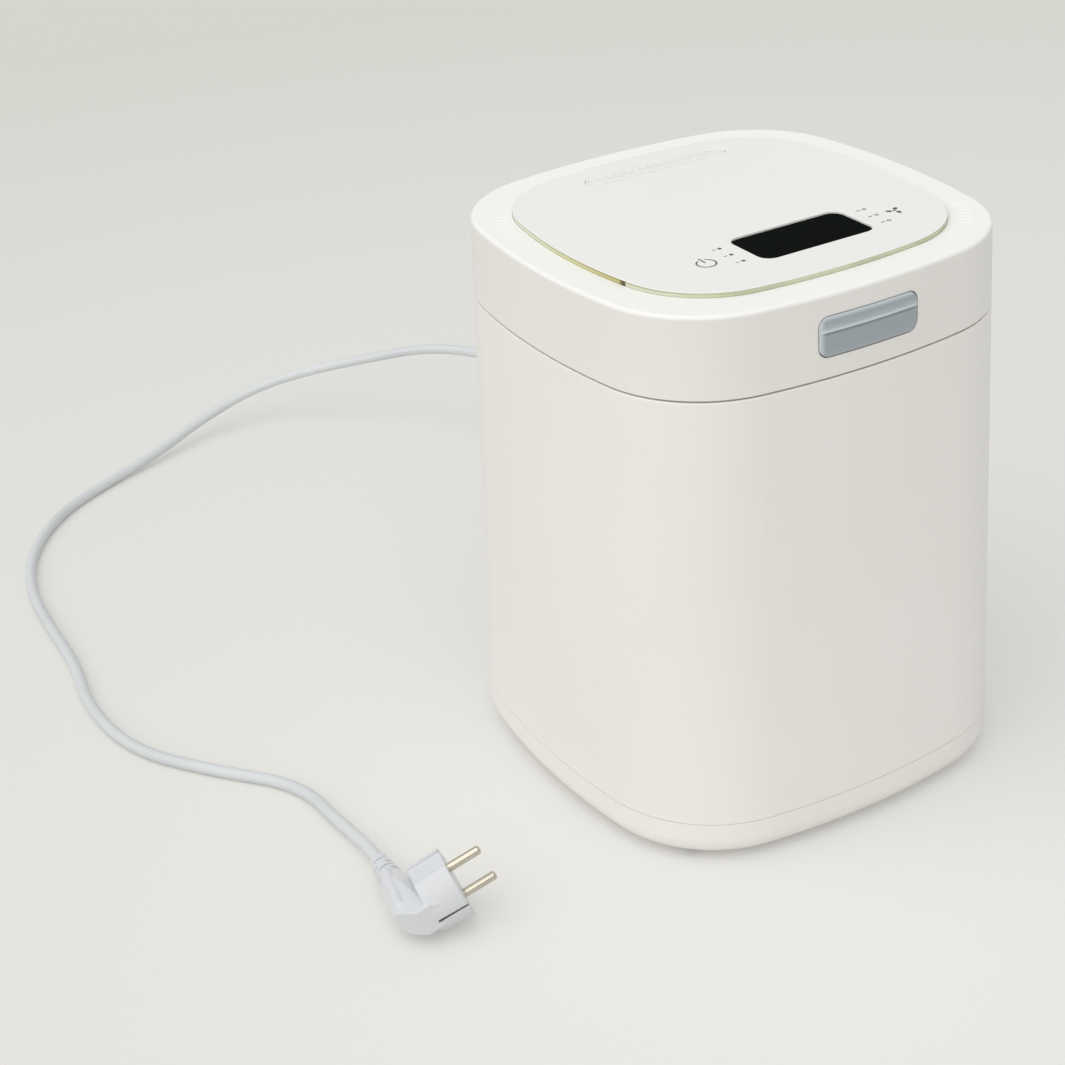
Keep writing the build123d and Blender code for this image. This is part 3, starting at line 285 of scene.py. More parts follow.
def bowed_square(half, side_r, corner_r, grow=0.0, step=2.0):
    """Points, in millimetres, round a square whose sides bow outwards into round corners."""
    half_x, half_y = half[0] + grow, half[1] + grow
    side_rx, side_ry, corner_r = side_r[0] + grow, side_r[1] + grow, corner_r + grow
    side_x = Vector((half_x - side_rx, 0.0))
    side_y = Vector((0.0, half_y - side_ry))
    reach_x, reach_y = side_rx - corner_r, side_ry - corner_r
    way = side_y - side_x
    span = way.length
    way.normalize()
    along = (reach_x**2 - reach_y**2 + span**2) / (2 * span)
    across = math.sqrt(reach_x**2 - along**2)
    corner = side_x + way * along + Vector((-way.y, way.x)) * across
    low = math.atan2(corner.y - side_x.y, corner.x - side_x.x)
    high = math.atan2(corner.y - side_y.y, corner.x - side_y.x)
    arcs = [
        (side_x, side_rx, 0.0, low), (corner, corner_r, low, high),
        (side_y, side_ry, high, math.pi / 2),
    ]
    quarter = []
    for centre, radius, start, end in arcs:
        count = max(2, round(radius * (end - start) / step))
        turns = [start + (end - start) * n / count for n in range(count)]
        quarter += [on_circle(centre, radius, turn) for turn in turns]
    right = quarter + [Vector((0.0, half_y))]
    left = [Vector((-p.x, p.y)) for p in reversed(quarter[1:])]
    upper = right + left + [Vector((-half_x, 0.0))]
    lower = [Vector((p.x, -p.y)) for p in reversed(upper[1:-1])]
    return upper + lower


def tidy(mesh):
    """Merges doubled points and turns the faces outwards."""
    work = bmesh.new()
    work.from_mesh(mesh)
    bmesh.ops.remove_doubles(work, verts=work.verts, dist=WELD_DISTANCE)
    bmesh.ops.recalc_face_normals(work, faces=work.faces)
    work.to_mesh(mesh)
    work.free()


def evaluated_mesh(made):
    """An object's mesh as its modifiers leave it."""
    graph = bpy.context.evaluated_depsgraph_get()
    graph.update()
    return bpy.data.meshes.new_from_object(made.evaluated_get(graph), depsgraph=graph)


def slab(name, outlines, low, high, edge=0.0):
    """Flat plates between two heights, in millimetres. An outline inside another is a hole."""
    curve = bpy.data.curves.new(name, "CURVE")
    curve.dimensions = "2D"
    curve.fill_mode = "BOTH"
    curve.extrude = ((high - low) / 2 - edge) * MM
    curve.bevel_depth = edge * MM
    curve.bevel_resolution = EDGE_STEPS
    curve.offset = -edge * MM
    for points in outlines:
        spline = curve.splines.new("POLY")
        spline.points.add(len(points) - 1)
        for point, at in zip(spline.points, points):
            point.co = (at.x * MM, at.y * MM, 0.0, 1.0)
        spline.use_cyclic_u = True
    flat = new_object(name, curve)
    mesh = evaluated_mesh(flat)
    bpy.data.objects.remove(flat)
    mesh.transform(Matrix.Translation((0.0, 0.0, (low + high) / 2 * MM)))
    tidy(mesh)
    mesh.materials.clear()
    return new_object(name, mesh)


strip_grow = WALL_DRAFT * (RIM_TOP_Z - SEAM_LOW_Z) - STRIP_SET_BACK
strip_outlines = [
    bowed_square(RIM_HALF, RIM_SIDE_R, RIM_CORNER_R, grow)
    for grow in (strip_grow, strip_grow - STRIP_WIDTH)
]
seam_strip = slab("seam_strip", strip_outlines, SEAM_LOW_Z, SEAM_HIGH_Z)
seam_strip.data.materials.append(white_abs)
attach(seam_strip, "housing")

# ---- Top deck, striker, heated pot, sensor and shaft seal ----------------------------------------
# A grey glass-filled deck closes the gap round the well. The spun aluminium pot hangs below it,
# with a steel-clad heater band, a sleeve of mineral wool, and a brass sensor at its floor.
METAL_FILM = 14.0
METAL_SHINIER, METAL_DULLER = 0.07, 0.09
CAST_SHEEN = 0.10
MOTTLE_LOW, MOTTLE_HIGH, MOTTLE_WIDER = 0.32, 0.68, 9


def worked_metal(name, colour, shade, rough, stretch=(60.0, 60.0, 900.0), depth=0.000012):
    """Rolled, drawn or turned metal: fine lines along one direction and a cloudy oxide film."""
    material, tree, shader, place = new_material(name)
    lay = add_node(tree, "Mapping", Vector=place, Scale=stretch)
    lines = noise(tree, lay.outputs["Vector"], 1.0, 4.0)
    film = noise(tree, place, METAL_FILM, 4.0)
    bright, dull = rough - METAL_SHINIER, rough + METAL_DULLER
    fill(tree, shader, Metallic=1.0,
         Base_Color=tone_ramp(tree, film, [(NOISE_LOW, shade), (NOISE_HIGH, colour)]),
         Roughness=remap(tree, lines, NOISE_LOW, NOISE_HIGH, bright, dull),
         Normal=relief(tree, lines, depth))
    return material


def rough_cast(name, colour, shade, rough, grain, depth, metal):
    """Sand-textured casting or fibre: fine lumps over a colour mottled at a wider scale."""
    material, tree, shader, place = new_material(name)
    lumps = noise(tree, place, grain, 6.0, 0.65)
    mottle = noise(tree, place, grain / MOTTLE_WIDER, 3.0)
    fill(tree, shader, Metallic=metal,
         Base_Color=tone_ramp(tree, mottle, [(MOTTLE_LOW, shade), (MOTTLE_HIGH, colour)]),
         Roughness=remap(tree, lumps, 0.0, 1.0, rough - CAST_SHEEN, rough + CAST_SHEEN),
         Normal=relief(tree, lumps, depth))
    return material


deck_grey = moulded("deck_grey", (128, 130, 132), (120, 122, 124), 0.50,
                    grain=1000.0, depth=0.00004)
zinc_steel = worked_metal("zinc_steel", (196, 198, 198), (170, 172, 174), 0.32,
                          stretch=(500.0, 40.0, 500.0))
spun_aluminium = worked_metal("spun_aluminium", (206, 207, 207), (186, 188, 190), 0.34)
mineral_wool = rough_cast("mineral_wool", (216, 204, 170), (186, 172, 138), 0.95,
                          420.0, 0.0012, 0.0)
brass = worked_metal("brass", (206, 176, 112), (184, 150, 88), 0.30, stretch=(700.0, 700.0, 80.0))
seal_rubber = moulded("seal_rubber", (66, 40, 36), (54, 32, 30), 0.6, grain=700.0, depth=0.00005)
dress(deck_grey, "top_deck")
dress(zinc_steel, "latch_striker", "heater_band")
dress(spun_aluminium, "heating_pot")
dress(mineral_wool, "insulation_sleeve")
dress(brass, "temperature_sensor")
dress(seal_rubber, "shaft_seal")

# ---- Gear train and motor ------------------------------------------------------------------------
# A two-stage spur train in a die-cast tub: brass pinion, moulded nylon compound gear and output
# gear, brass bushes and ground steel shafts, with the painted can of the motor hung underneath.
die_cast = rough_cast("die_cast", (176, 178, 178), (156, 158, 160), 0.45, 700.0, 0.00012, 1.0)
gear_nylon = moulded("gear_nylon", (226, 220, 202), (212, 205, 186), 0.38,
                     grain=500.0, depth=0.00003)
motor_paint = worked_metal("motor_paint", (120, 124, 128), (98, 102, 106), 0.36,
                           stretch=(900.0, 900.0, 60.0))
ground_steel = worked_metal("ground_steel", (188, 190, 190), (172, 174, 176), 0.22,
                            stretch=(30.0, 30.0, 1600.0))
dress(die_cast, "gearbox_tub", "gearbox_cover")
dress(gear_nylon, "compound_gear", "output_gear")
dress(brass, "motor_pinion", "shaft_bushes")
dress(motor_paint, "drive_motor")
dress(ground_steel, "idler_pin", "drive_shaft", "drive_dog", "agitator_shaft")

# ---- Agitator and bucket -------------------------------------------------------------------------
# The paddle is a bead-blasted aluminium casting. The lift-out bucket is drawn aluminium with a
# speckled dark non-stick coating, two fixed breaker bars and a pair of moulded rim grips.
FLECK_SCALE, COAT_SHEEN = 620.0, 0.08
WIPING_RINGS, WIPING_DEPTH = (12.0, 12.0, 1100.0), 0.00002


def speckled_coat(name, ground, fleck, rough):
    """Sprayed non-stick coating: dark ground, fine pale flecks and faint wiping rings."""
    material, tree, shader, place = new_material(name)
    flecks = add_node(tree, "TexVoronoi", Vector=place, Scale=FLECK_SCALE).outputs["Distance"]
    lay = add_node(tree, "Mapping", Vector=place, Scale=WIPING_RINGS)
    rings = noise(tree, lay.outputs["Vector"], 1.0, 3.0)
    fill(tree, shader, Base_Color=tone_ramp(tree, flecks, [(0.10, fleck), (0.22, ground)]),
         Roughness=sheen(tree, rings, rough, COAT_SHEEN),
         Normal=relief(tree, rings, WIPING_DEPTH))
    return material


blasted_casting = rough_cast("blasted_casting", (150, 152, 153), (128, 130, 132), 0.5,
                             1300.0, 0.00009, 1.0)
bucket_coat = speckled_coat("bucket_coat", (48, 50, 52), (112, 114, 116), 0.38)
grip_plastic = moulded("grip_plastic", (58, 60, 62), (48, 50, 52), 0.55, grain=800.0, depth=0.00006)
bush_plastic = moulded("bush_plastic", (232, 228, 216), (222, 216, 202), 0.35)
dress(blasted_casting, "agitator", "breaker_bars")
dress(bucket_coat, "bucket")
dress(grip_plastic, "bucket_grips")
dress(bush_plastic, "bucket_bush")

# ---- Power board ---------------------------------------------------------------------------------
# A single-sided board under green lacquer with the transformer, relay, capacitors and terminals,
# screwed to four posts of the tray. The touch board under the panel is the same kind.
TRACK_SCALE, TRACK_DEPTH = 190.0, 0.00008
LACQUER_ROUGH = 0.3
LACQUER_TONES = [(0.42, (24, 82, 48)), (0.47, (52, 122, 70))]


def lacquered_board(name):
    """Green solder lacquer over copper tracks, which stand a little proud and paler."""
    material, tree, shader, place = new_material(name)
    cells = add_node(tree, "TexVoronoi", Vector=place, Scale=TRACK_SCALE)
    cells.distance = "MANHATTAN"
    cells.feature = "F2"
    tracks = cells.outputs["Distance"]
    fill(tree, shader, Base_Color=tone_ramp(tree, tracks, LACQUER_TONES), Roughness=LACQUER_ROUGH,
         Normal=relief(tree, tracks, TRACK_DEPTH))
    return material


board_lacquer = lacquered_board("board_lacquer")
case_black = moulded("case_black", (44, 45, 47), (34, 35, 37), 0.48, grain=900.0, depth=0.00003)
dress(board_lacquer, "power_board", "touch_board")
dress(case_black, "board_components")

# ---- Hinge ---------------------------------------------------------------------------------------
# A white ABS bracket on the deck carries the lid on a drawn steel pin, which runs through the
# bracket's ears and the lid's barrel. The pin of the latch hook is of the same steel.
dress(white_abs, "hinge_bracket")
dress(ground_steel, "hinge_pin", "hook_pin")

# ---- Lid shell and its grip ribs -----------------------------------------------------------------
# One moulding in white ABS like the housing. Two short rows of faint radial ribs on the rim round
# the panel, left and right, give the fingers a hold. Rim and ribs are painted a brighter white, a
# painted highlight of their flat tops.
LID_ABS, LID_ABS_SHADE = (235, 232, 228), (232, 229, 224)
# The flat rim is painted a brighter white from this height up, a painted highlight of its top.
RIM_PAINTED_HIGHLIGHT, RIM_HIGHLIGHT_FROM_Z = (246, 246, 243), 309.2
PANEL_HALF, PANEL_SIDE_R, PANEL_CORNER_R = (99.0, 99.5), (287.0, 369.0), 52.6
RIB_PITCH = 4.4
RIB_LENGTH, RIB_WIDTH, RIB_HEIGHT = 7.0, 1.5, 0.16
# Near which spot each row has its middle, how far outside the panel it runs, and how long it is.
RIB_ROWS = [((-104.0, 58.0), 7.0, 28.0), ((98.0, -78.0), 9.5, 28.0)]


def opened(material):
    """A finish's tree and shader, its coordinates by axis and its base colour, to add to."""
    tree = material.node_tree
    shader = tree.nodes["Principled BSDF"]
    place = tree.nodes["Texture Coordinate"].outputs["Object"]
    axes = add_node(tree, "SeparateXYZ", Vector=place).outputs
    return tree, shader, axes, shader.inputs["Base Color"].links[0].from_socket


def abs_with_painted_rim():
    """The lid's ABS: textured sides, and a painted highlight of brighter white on the flat rim."""
    material = moulded("lid_abs", LID_ABS, LID_ABS_SHADE, 0.40)
    tree, shader, axes, sides = opened(material)
    level = remap(tree, axes["Z"], RIM_HIGHLIGHT_FROM_Z * MM, RIM_TOP_Z * MM)
    fill(tree, shader, Base_Color=mix_colours(tree, level, sides, shown(*RIM_PAINTED_HIGHLIGHT)))
    return material


def loose_mesh(name, points, edges=()):
    """Object with points, given in millimetres, and edges between them."""
    mesh = bpy.data.meshes.new(name)
    mesh.from_pydata([tuple(MM * v for v in point) for point in points], list(edges), [])
    return new_object(name, mesh)


class NodeGroup:
    """A geometry node tree with named inputs, built up one node at a time."""

    def __init__(self, name, **sockets):
        self.tree = bpy.data.node_groups.new(name, "GeometryNodeTree")
        self.keys = {}
        self.port("Geometry", "INPUT", "Geometry")
        for socket, kind in sockets.items():
            self.keys[socket] = self.port(socket, "INPUT", kind).identifier
        self.port("Geometry", "OUTPUT", "Geometry")
        self.given = self.tree.nodes.new("NodeGroupInput").outputs

    def port(self, name, way, kind):
        """Adds an input or output of the whole tree."""
        return self.tree.interface.new_socket(name, in_out=way, socket_type="NodeSocket" + kind)

    def add(self, kind, settings=None, **inputs):
        """Adds a node. An input is a constant or another node's output socket."""
        node = self.tree.nodes.new(kind)
        for key, value in (settings or {}).items():
            setattr(node, key, value)
        return fill(self.tree, node, **inputs)

    def finish(self, geometry):
        """Ends the tree: real geometry with its material."""
        real = self.add("GeometryNodeRealizeInstances", Geometry=geometry).outputs[0]
        painted = self.add("GeometryNodeSetMaterial", Geometry=real, Material=self.given["Finish"])
        end = self.tree.nodes.new("NodeGroupOutput")
        self.tree.links.new(painted.outputs[0], end.inputs[0])

    def grow(self, name, seed, **values):
        """Runs the tree on a seed object and keeps the result as a plain mesh."""
        modifier = seed.modifiers.new(name, "NODES")
        modifier.node_group = self.tree
        for key, value in values.items():
            modifier[self.keys[key]] = value
        seed.update_tag()
        mesh = evaluated_mesh(seed)
        seed.modifiers.remove(modifier)
        bpy.data.objects.remove(seed)
        mesh.materials.clear()
        mesh.materials.append(values["Finish"])
        mesh.polygons.foreach_set("material_index", [0] * len(mesh.polygons))
        tidy(mesh)
        mesh.validate()
        mesh.name = name
        return new_object(name, mesh)


def rib_row_tree():
    """Ribs at an even pitch along the seed's edges, each a flat pebble laid across its edge."""
    group = NodeGroup("rib_row", Pitch="Float", Size="Vector", Finish="Material")
    path = group.add("GeometryNodeMeshToCurve", Mesh=group.given["Geometry"]).outputs[0]
    marks = group.add("GeometryNodeResampleCurve", {"mode": "LENGTH"}, Curve=path,
                      Length=group.given["Pitch"]).outputs[0]
    way = group.add("GeometryNodeInputTangent").outputs[0]
    turn = group.add("FunctionNodeAlignRotationToVector", {"axis": "Y"}, Vector=way).outputs[0]
    ball = group.add("GeometryNodeMeshIcoSphere", Radius=0.5, Subdivisions=4).outputs[0]
    bar = group.add("GeometryNodeTransform", Geometry=ball, Scale=group.given["Size"]).outputs[0]
    ribs = group.add("GeometryNodeInstanceOnPoints", Points=marks, Instance=bar, Rotation=turn)
    group.finish(ribs.outputs[0])
    return group


# The ribs on the rim are painted a still brighter white, a painted highlight like the rim's.
rib_painted_highlight = moulded("rib_painted_highlight", (250, 250, 249), (248, 248, 247), 0.42)
dress(abs_with_painted_rim(), "lid_shell")
rib_points, rib_edges = [], []
for near, outside, reach in RIB_ROWS:
    outline = bowed_square(PANEL_HALF, PANEL_SIDE_R, PANEL_CORNER_R, outside, step=1.0)
    middle = min(range(len(outline)), key=lambda n: (outline[n] - Vector(near)).length)
    half_row = round(reach / 2)
    row = [outline[(middle + n) % len(outline)] for n in range(-half_row, half_row + 1)]
    start = len(rib_points)
    rib_points += [(point.x, point.y, RIM_TOP_Z) for point in row]
    rib_edges += [(start + n, start + n + 1) for n in range(len(row) - 1)]
rim_ribs = rib_row_tree().grow(
    "rim_ribs", loose_mesh("rib_seed", rib_points, rib_edges), Pitch=RIB_PITCH * MM,
    Size=(RIB_LENGTH * MM, RIB_WIDTH * MM, 2 * RIB_HEIGHT * MM), Finish=rib_painted_highlight)
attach(rim_ribs, "lid")

# ---- Top panel and display -----------------------------------------------------------------------
# A 3 mm acrylic panel, white-backed, whose polished edge shows yellow-green, with painted shade
# along the edge's top and a dark amber patch near the front of its left side. The smoked display
# lens lies sunk in its window.
PANEL_LOW_Z, PANEL_TOP_Z = 311.0, 314.15
PANEL_EDGE_R = 0.45
PANEL_X = 8.5
WINDOW_Y, WINDOW_W, WINDOW_D, WINDOW_R = -54.2, 69.0, 34.6, 7.0
VENT_Y, VENT_L, VENT_W = 78.3, 89.4, 12.0
VENT_GAP = 0.3
END_SHORT = 0.01  # a round end's radius stays this much under half the width
OPENINGS_WITHIN = (70.0, 88.0)  # the window's and the slot's walls lie in here and stay white
LEVEL_FROM = 0.35  # a face that points up or down by more than this is not part of the edge
EDGE_PALE, EDGE_DEEP = (216, 217, 188), (202, 206, 176)
# Painted shade along the top of the edge, multiplied over its tint, by height from rim to panel
# top.
EDGE_SHADE_LINE = [
    (0.0, (255, 255, 252)), (0.42, (250, 250, 242)),
    (0.70, (226, 226, 204)), (0.90, (150, 152, 124)),
]
# The painted shade is faint near the middle of the front and full towards the left and right ends.
EDGE_SHADE_LINE_FROM, EDGE_SHADE_LINE_FULL, EDGE_SHADE_LINE_LEAST = 40.0, 88.0, 0.12
EDGE_SIDE = [
    (-55.0, (222, 225, 206)), (-51.0, (222, 223, 202)), (-50.3, (84, 70, 44)),
    (-48.0, (110, 92, 54)), (-46.0, (200, 190, 130)), (-14.0, (216, 213, 164)),
    (20.0, (224, 225, 198)), (60.0, (236, 237, 228)),
]
EDGE_SIDE_FROM_X, EDGE_SIDE_FULL_X = -70.0, -85.0
EDGE_WAVE, EDGE_WAVE_DEPTH, EDGE_ROUGH = 55.0, 0.00005, 0.2


def rounded_box(width, depth, radius, x, y, steps=8):
    """Points round a rectangle with round corners."""
    points = []
    for side_x, side_y, start in ((1, 1, 0), (-1, 1, 90), (-1, -1, 180), (1, -1, 270)):
        middle = Vector((x + side_x * (width / 2 - radius), y + side_y * (depth / 2 - radius)))
        turns = [math.radians(start + 90 * n / steps) for n in range(steps + 1)]
        points += [on_circle(middle, radius, turn) for turn in turns]
    return points


def tones_along(tree, coordinate, tones):
    """Colour along an axis, from a list of (place in millimetres, screen colour) stops."""
    start, end = tones[0][0], tones[-1][0]
    share = remap(tree, coordinate, start * MM, end * MM)
    return tone_ramp(tree, share, [((at - start) / (end - start), colour) for at, colour in tones])


def edge_lit_acrylic(name):
    """Polished sheet edge: painted shade along its top, and a dark amber patch on the left side."""
    material, tree, shader, place = new_material(name)
    axes = add_node(tree, "SeparateXYZ", Vector=place).outputs
    wave = noise(tree, place, EDGE_WAVE, 2.0)
    front = tone_ramp(tree, wave, [(0.38, EDGE_DEEP), (0.62, EDGE_PALE)])
    side = tones_along(tree, axes["Y"], EDGE_SIDE)
    leftness = remap(tree, axes["X"], EDGE_SIDE_FROM_X * MM, EDGE_SIDE_FULL_X * MM)
    tint = mix_colours(tree, leftness, front, side)
    height = remap(tree, axes["Z"], RIM_TOP_Z * MM, PANEL_TOP_Z * MM)
    aside = calc(tree, "ABSOLUTE", axes["X"])
    force = remap(tree, aside, EDGE_SHADE_LINE_FROM * MM, EDGE_SHADE_LINE_FULL * MM, low=EDGE_SHADE_LINE_LEAST)
    # Painted shade along the edge's top.
    shade_lined = mix_colours(tree, force, tint, tone_ramp(tree, height, EDGE_SHADE_LINE), "MULTIPLY")
    fill(tree, shader, Base_Color=shade_lined, Roughness=EDGE_ROUGH,
         Normal=relief(tree, wave, EDGE_WAVE_DEPTH))
    return material


panel_outline = bowed_square(PANEL_HALF, PANEL_SIDE_R, PANEL_CORNER_R)
vent_l, vent_w = VENT_L + 2 * VENT_GAP, VENT_W + 2 * VENT_GAP
vent_outline = rounded_box(vent_l, vent_w, vent_w / 2 - END_SHORT, PANEL_X, VENT_Y)
window_outline = rounded_box(WINDOW_W, WINDOW_D, WINDOW_R, PANEL_X, WINDOW_Y)
panel_outlines = [panel_outline, vent_outline, window_outline]
top_panel = slab("top_panel", panel_outlines, PANEL_LOW_Z, PANEL_TOP_Z, PANEL_EDGE_R)
panel_white = moulded("panel_white", (241, 241, 238), (239, 239, 236), 0.16, depth=0.000004)
top_panel.data.materials.append(panel_white)
top_panel.data.materials.append(edge_lit_acrylic("panel_edge"))
for face in top_panel.data.polygons:
    spot = face.center / MM
    at_edge = abs(spot.x) > OPENINGS_WITHIN[0] or abs(spot.y) > OPENINGS_WITHIN[1]
    face.material_index = 1 if at_edge and abs(face.normal.z) < LEVEL_FROM else 0
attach(top_panel, "lid")
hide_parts("glass_panel")

smoked_lens = moulded("smoked_lens", (22, 25, 22), (17, 20, 18), 0.20, depth=0.000002)
lens_shader = smoked_lens.node_tree.nodes["Principled BSDF"]
lens_shader.inputs["Specular IOR Level"].default_value = 0.0
dress(smoked_lens, "display_module")

# ---- Printed marks -------------------------------------------------------------------------------
# Touch marks in grey screen ink on the panel: a power ring, three plain level marks on each side of
# the display, and a three-bladed fan.
MARK_LOW_Z, MARK_TOP_Z = 314.10, 314.18
POWER_AT, POWER_R, POWER_LINE = Vector((-51.0, -56.4)), 5.4, 0.9
POWER_FROM, POWER_SWEEP, POWER_STEPS = 112, 316, 48
POWER_BAR_L, POWER_BAR_UP, POWER_BAR_R = 6.6, 4.0, 0.4478
MARK_ROWS = (-44.4, -54.6, -64.8)
LEFT_SPOT_X, LEFT_SPOT_R = -34.9, 1.15
LEFT_DASH_X, LEFT_DASH = -38.4, (2.6, 0.55, 0.27)
RIGHT_RING_X, RIGHT_RING_R, RIGHT_HOLE_R = 54.2, 1.2, 0.6
RIGHT_DASH_X, RIGHT_DASH = 50.4, (2.8, 0.75, 0.37)
RIGHT_DROP = 1.6
SPOT_CORNER = 0.999
FAN_AT, FAN_HUB_R = Vector((64.9, -57.2)), 0.8
BLADE, BLADE_OUT, BLADE_FROM = (3.4, 2.2, 1.05), Vector((2.9, 0.7)), 30


def round_spot(x, y, radius):
    """Points round a spot, as a square that is nearly all corner."""
    return rounded_box(2 * radius, 2 * radius, radius * SPOT_CORNER, x, y)


def spun(points, middle, degrees):
    """Points turned about a middle."""
    spin = Matrix.Rotation(math.radians(degrees), 2)
    return [middle + spin @ (point - middle) for point in points]


power_turns = [
    math.radians(POWER_FROM + POWER_SWEEP * n / POWER_STEPS) for n in range(POWER_STEPS + 1)
]
power_outer = [on_circle(POWER_AT, POWER_R, turn) for turn in power_turns]
power_inner = [on_circle(POWER_AT, POWER_R - POWER_LINE, turn) for turn in power_turns]
mark_outlines = [
    power_outer + power_inner[::-1],
    rounded_box(POWER_LINE, POWER_BAR_L, POWER_BAR_R, POWER_AT.x, POWER_AT.y + POWER_BAR_UP),
    round_spot(FAN_AT.x, FAN_AT.y, FAN_HUB_R),
]
for row_y in MARK_ROWS:
    right_y = row_y - RIGHT_DROP
    mark_outlines += [
        round_spot(LEFT_SPOT_X, row_y, LEFT_SPOT_R),
        rounded_box(*LEFT_DASH, LEFT_DASH_X, row_y),
        round_spot(RIGHT_RING_X, right_y, RIGHT_RING_R),
        round_spot(RIGHT_RING_X, right_y, RIGHT_HOLE_R),
        rounded_box(*RIGHT_DASH, RIGHT_DASH_X, right_y),
    ]
fan_blade = rounded_box(*BLADE, *(FAN_AT + BLADE_OUT))
mark_outlines += [spun(fan_blade, FAN_AT, BLADE_FROM + 120 * n) for n in range(3)]
touch_marks = slab("touch_marks", mark_outlines, MARK_LOW_Z, MARK_TOP_Z)
mark_ink = moulded("mark_ink", (92, 94, 92), (70, 72, 70), 0.55, grain=2500.0, drift=260.0)
touch_marks.data.materials.append(mark_ink)
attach(touch_marks, "lid")

# ---- Vent grille ---------------------------------------------------------------------------------
# A long moulded insert with fifteen slanted slits, pressed into the panel's slot from below. A fine
# white nylon gauze is welded in just under its face and keeps dust out of the duct.
GAUZE_DEPTH, GAUZE_T = 0.75, 0.25
GAUZE_INSET_L, GAUZE_INSET_W, GAUZE_CORNER_R = 2.0, 1.8, 4.1
GAUZE_THREADS, GAUZE_THREAD_DEPTH, GAUZE_ROUGH = 420.0, 0.00008, 0.8


def woven_gauze(name, colour, shade):
    """Square-woven gauze: two sets of threads that cross, with dark pin holes between them."""
    material, tree, shader, place = new_material(name)
    sets = []
    for direction in ("X", "Y"):
        threads = add_node(tree, "TexWave", Vector=place, Scale=GAUZE_THREADS)
        threads.bands_direction = direction
        sets.append(threads.outputs["Fac"])
    crossed = calc(tree, "MAXIMUM", *sets)
    fill(tree, shader, Base_Color=tone_ramp(tree, crossed, [(0.2, shade), (0.7, colour)]),
         Roughness=GAUZE_ROUGH, Normal=relief(tree, crossed, GAUZE_THREAD_DEPTH))
    return material


gauze_top = max(vertex.co.z for vertex in nodes["vent_grille"].data.vertices) / MM - GAUZE_DEPTH
gauze_l, gauze_w = VENT_L - 2 * GAUZE_INSET_L, VENT_W - 2 * GAUZE_INSET_W
gauze_outline = rounded_box(gauze_l, gauze_w, GAUZE_CORNER_R, PANEL_X, VENT_Y)
vent_gauze = slab("vent_gauze", [gauze_outline], gauze_top - GAUZE_T, gauze_top)
vent_gauze.data.materials.append(woven_gauze("white_gauze", (240, 240, 238), (206, 206, 204)))
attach(vent_gauze, "lid")
dress(panel_white, "vent_grille")

# ---- Inner cover, filter, fan and duct -----------------------------------------------------------
# A pan of grey ABS screwed under the lid, with a slotted door over the carbon foam, an axial fan
# above it, a duct to the vent, and a soft silicone lip that seals the well.
FOAM_CELLS, FOAM_DEPTH, FOAM_ROUGH = 430.0, 0.0009, 0.95


def open_foam(name, colour, pit):
    """Reticulated foam: round cells with dark pits between pale threads."""
    material, tree, shader, place = new_material(name)
    cells = add_node(tree, "TexVoronoi", Vector=place, Scale=FOAM_CELLS).outputs["Distance"]
    fill(tree, shader, Base_Color=tone_ramp(tree, cells, [(0.15, pit), (0.55, colour)]),
         Roughness=FOAM_ROUGH, Normal=relief(tree, cells, FOAM_DEPTH))
    return material


carbon_foam = open_foam("carbon_foam", (50, 51, 52), (14, 14, 15))
lip_silicone = moulded("lip_silicone", (214, 216, 216), (204, 207, 208), 0.42,
                       grain=400.0, depth=0.00003)
cover_grey = moulded("cover_grey", (150, 152, 154), (142, 144, 147), 0.46,
                     grain=1000.0, depth=0.00004)
dress(carbon_foam, "carbon_filter")
dress(lip_silicone, "lid_seal")
dress(cover_grey, "lid_inner_cover", "filter_cover")
dress(white_abs, "air_duct")
dress(case_black, "fan_housing", "fan_rotor")

# ---- Latch ---------------------------------------------------------------------------------------
# A blue-grey push plate on two springs, with soft edges and a raised finger rib. Its edges and rib
# carry painted highlights, and a painted shadow lies under the rib. Pressing it turns the hook out
# from under the striker.
BUTTON_SKIN, BUTTON_ROUNDS = 0.34, 6
BUTTON_Z, BUTTON_W, BUTTON_H = 289.65, 59.5, 20.7
BUTTON_FLAT, BUTTON_FLAT_KEPT = 1.5, 0.4
FRONT_BEFORE_Y, FACES_FRONT = -110.0, -0.1
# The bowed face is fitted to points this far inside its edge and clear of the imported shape's rib.
FIT_INSET, OLD_RIB_Z = 1.0, (287.8, 293.4)
RIB_FADE, RIB_FADE_LEAST = 1.2, 0.1
# How far the front stands out from its plain bowed face, from the lower to the upper end.
RIB_PROFILE = [
    (291.0, 0.0), (291.5, -0.30), (292.0, -0.25), (292.5, 0.55), (293.0, 0.72), (294.0, 0.45),
    (295.4, 0.0),
]
# Painted light and shade by height: highlights on the bottom and top edges and on the rib's crest,
# and a painted shadow line just under the rib.
BUTTON_PAINTED_LIGHT = [
    (279.3, (186, 192, 196)), (281.0, (162, 169, 175)), (284.0, (157, 165, 171)),
    (290.6, (158, 166, 172)), (291.7, (132, 140, 146)), (292.5, (196, 204, 210)),
    (293.2, (214, 221, 226)), (294.3, (172, 181, 187)), (297.8, (160, 169, 176)),
    (299.0, (184, 193, 198)), (300.0, (208, 215, 219)),
]
# Painted highlight along the left edge, and its width.
BUTTON_LEFT_HIGHLIGHT, BUTTON_LEFT_HIGHLIGHT_W = (208, 214, 218), 3.4
BUTTON_DRIFT = 0.12
SMOOTH_SHARE = 0.5


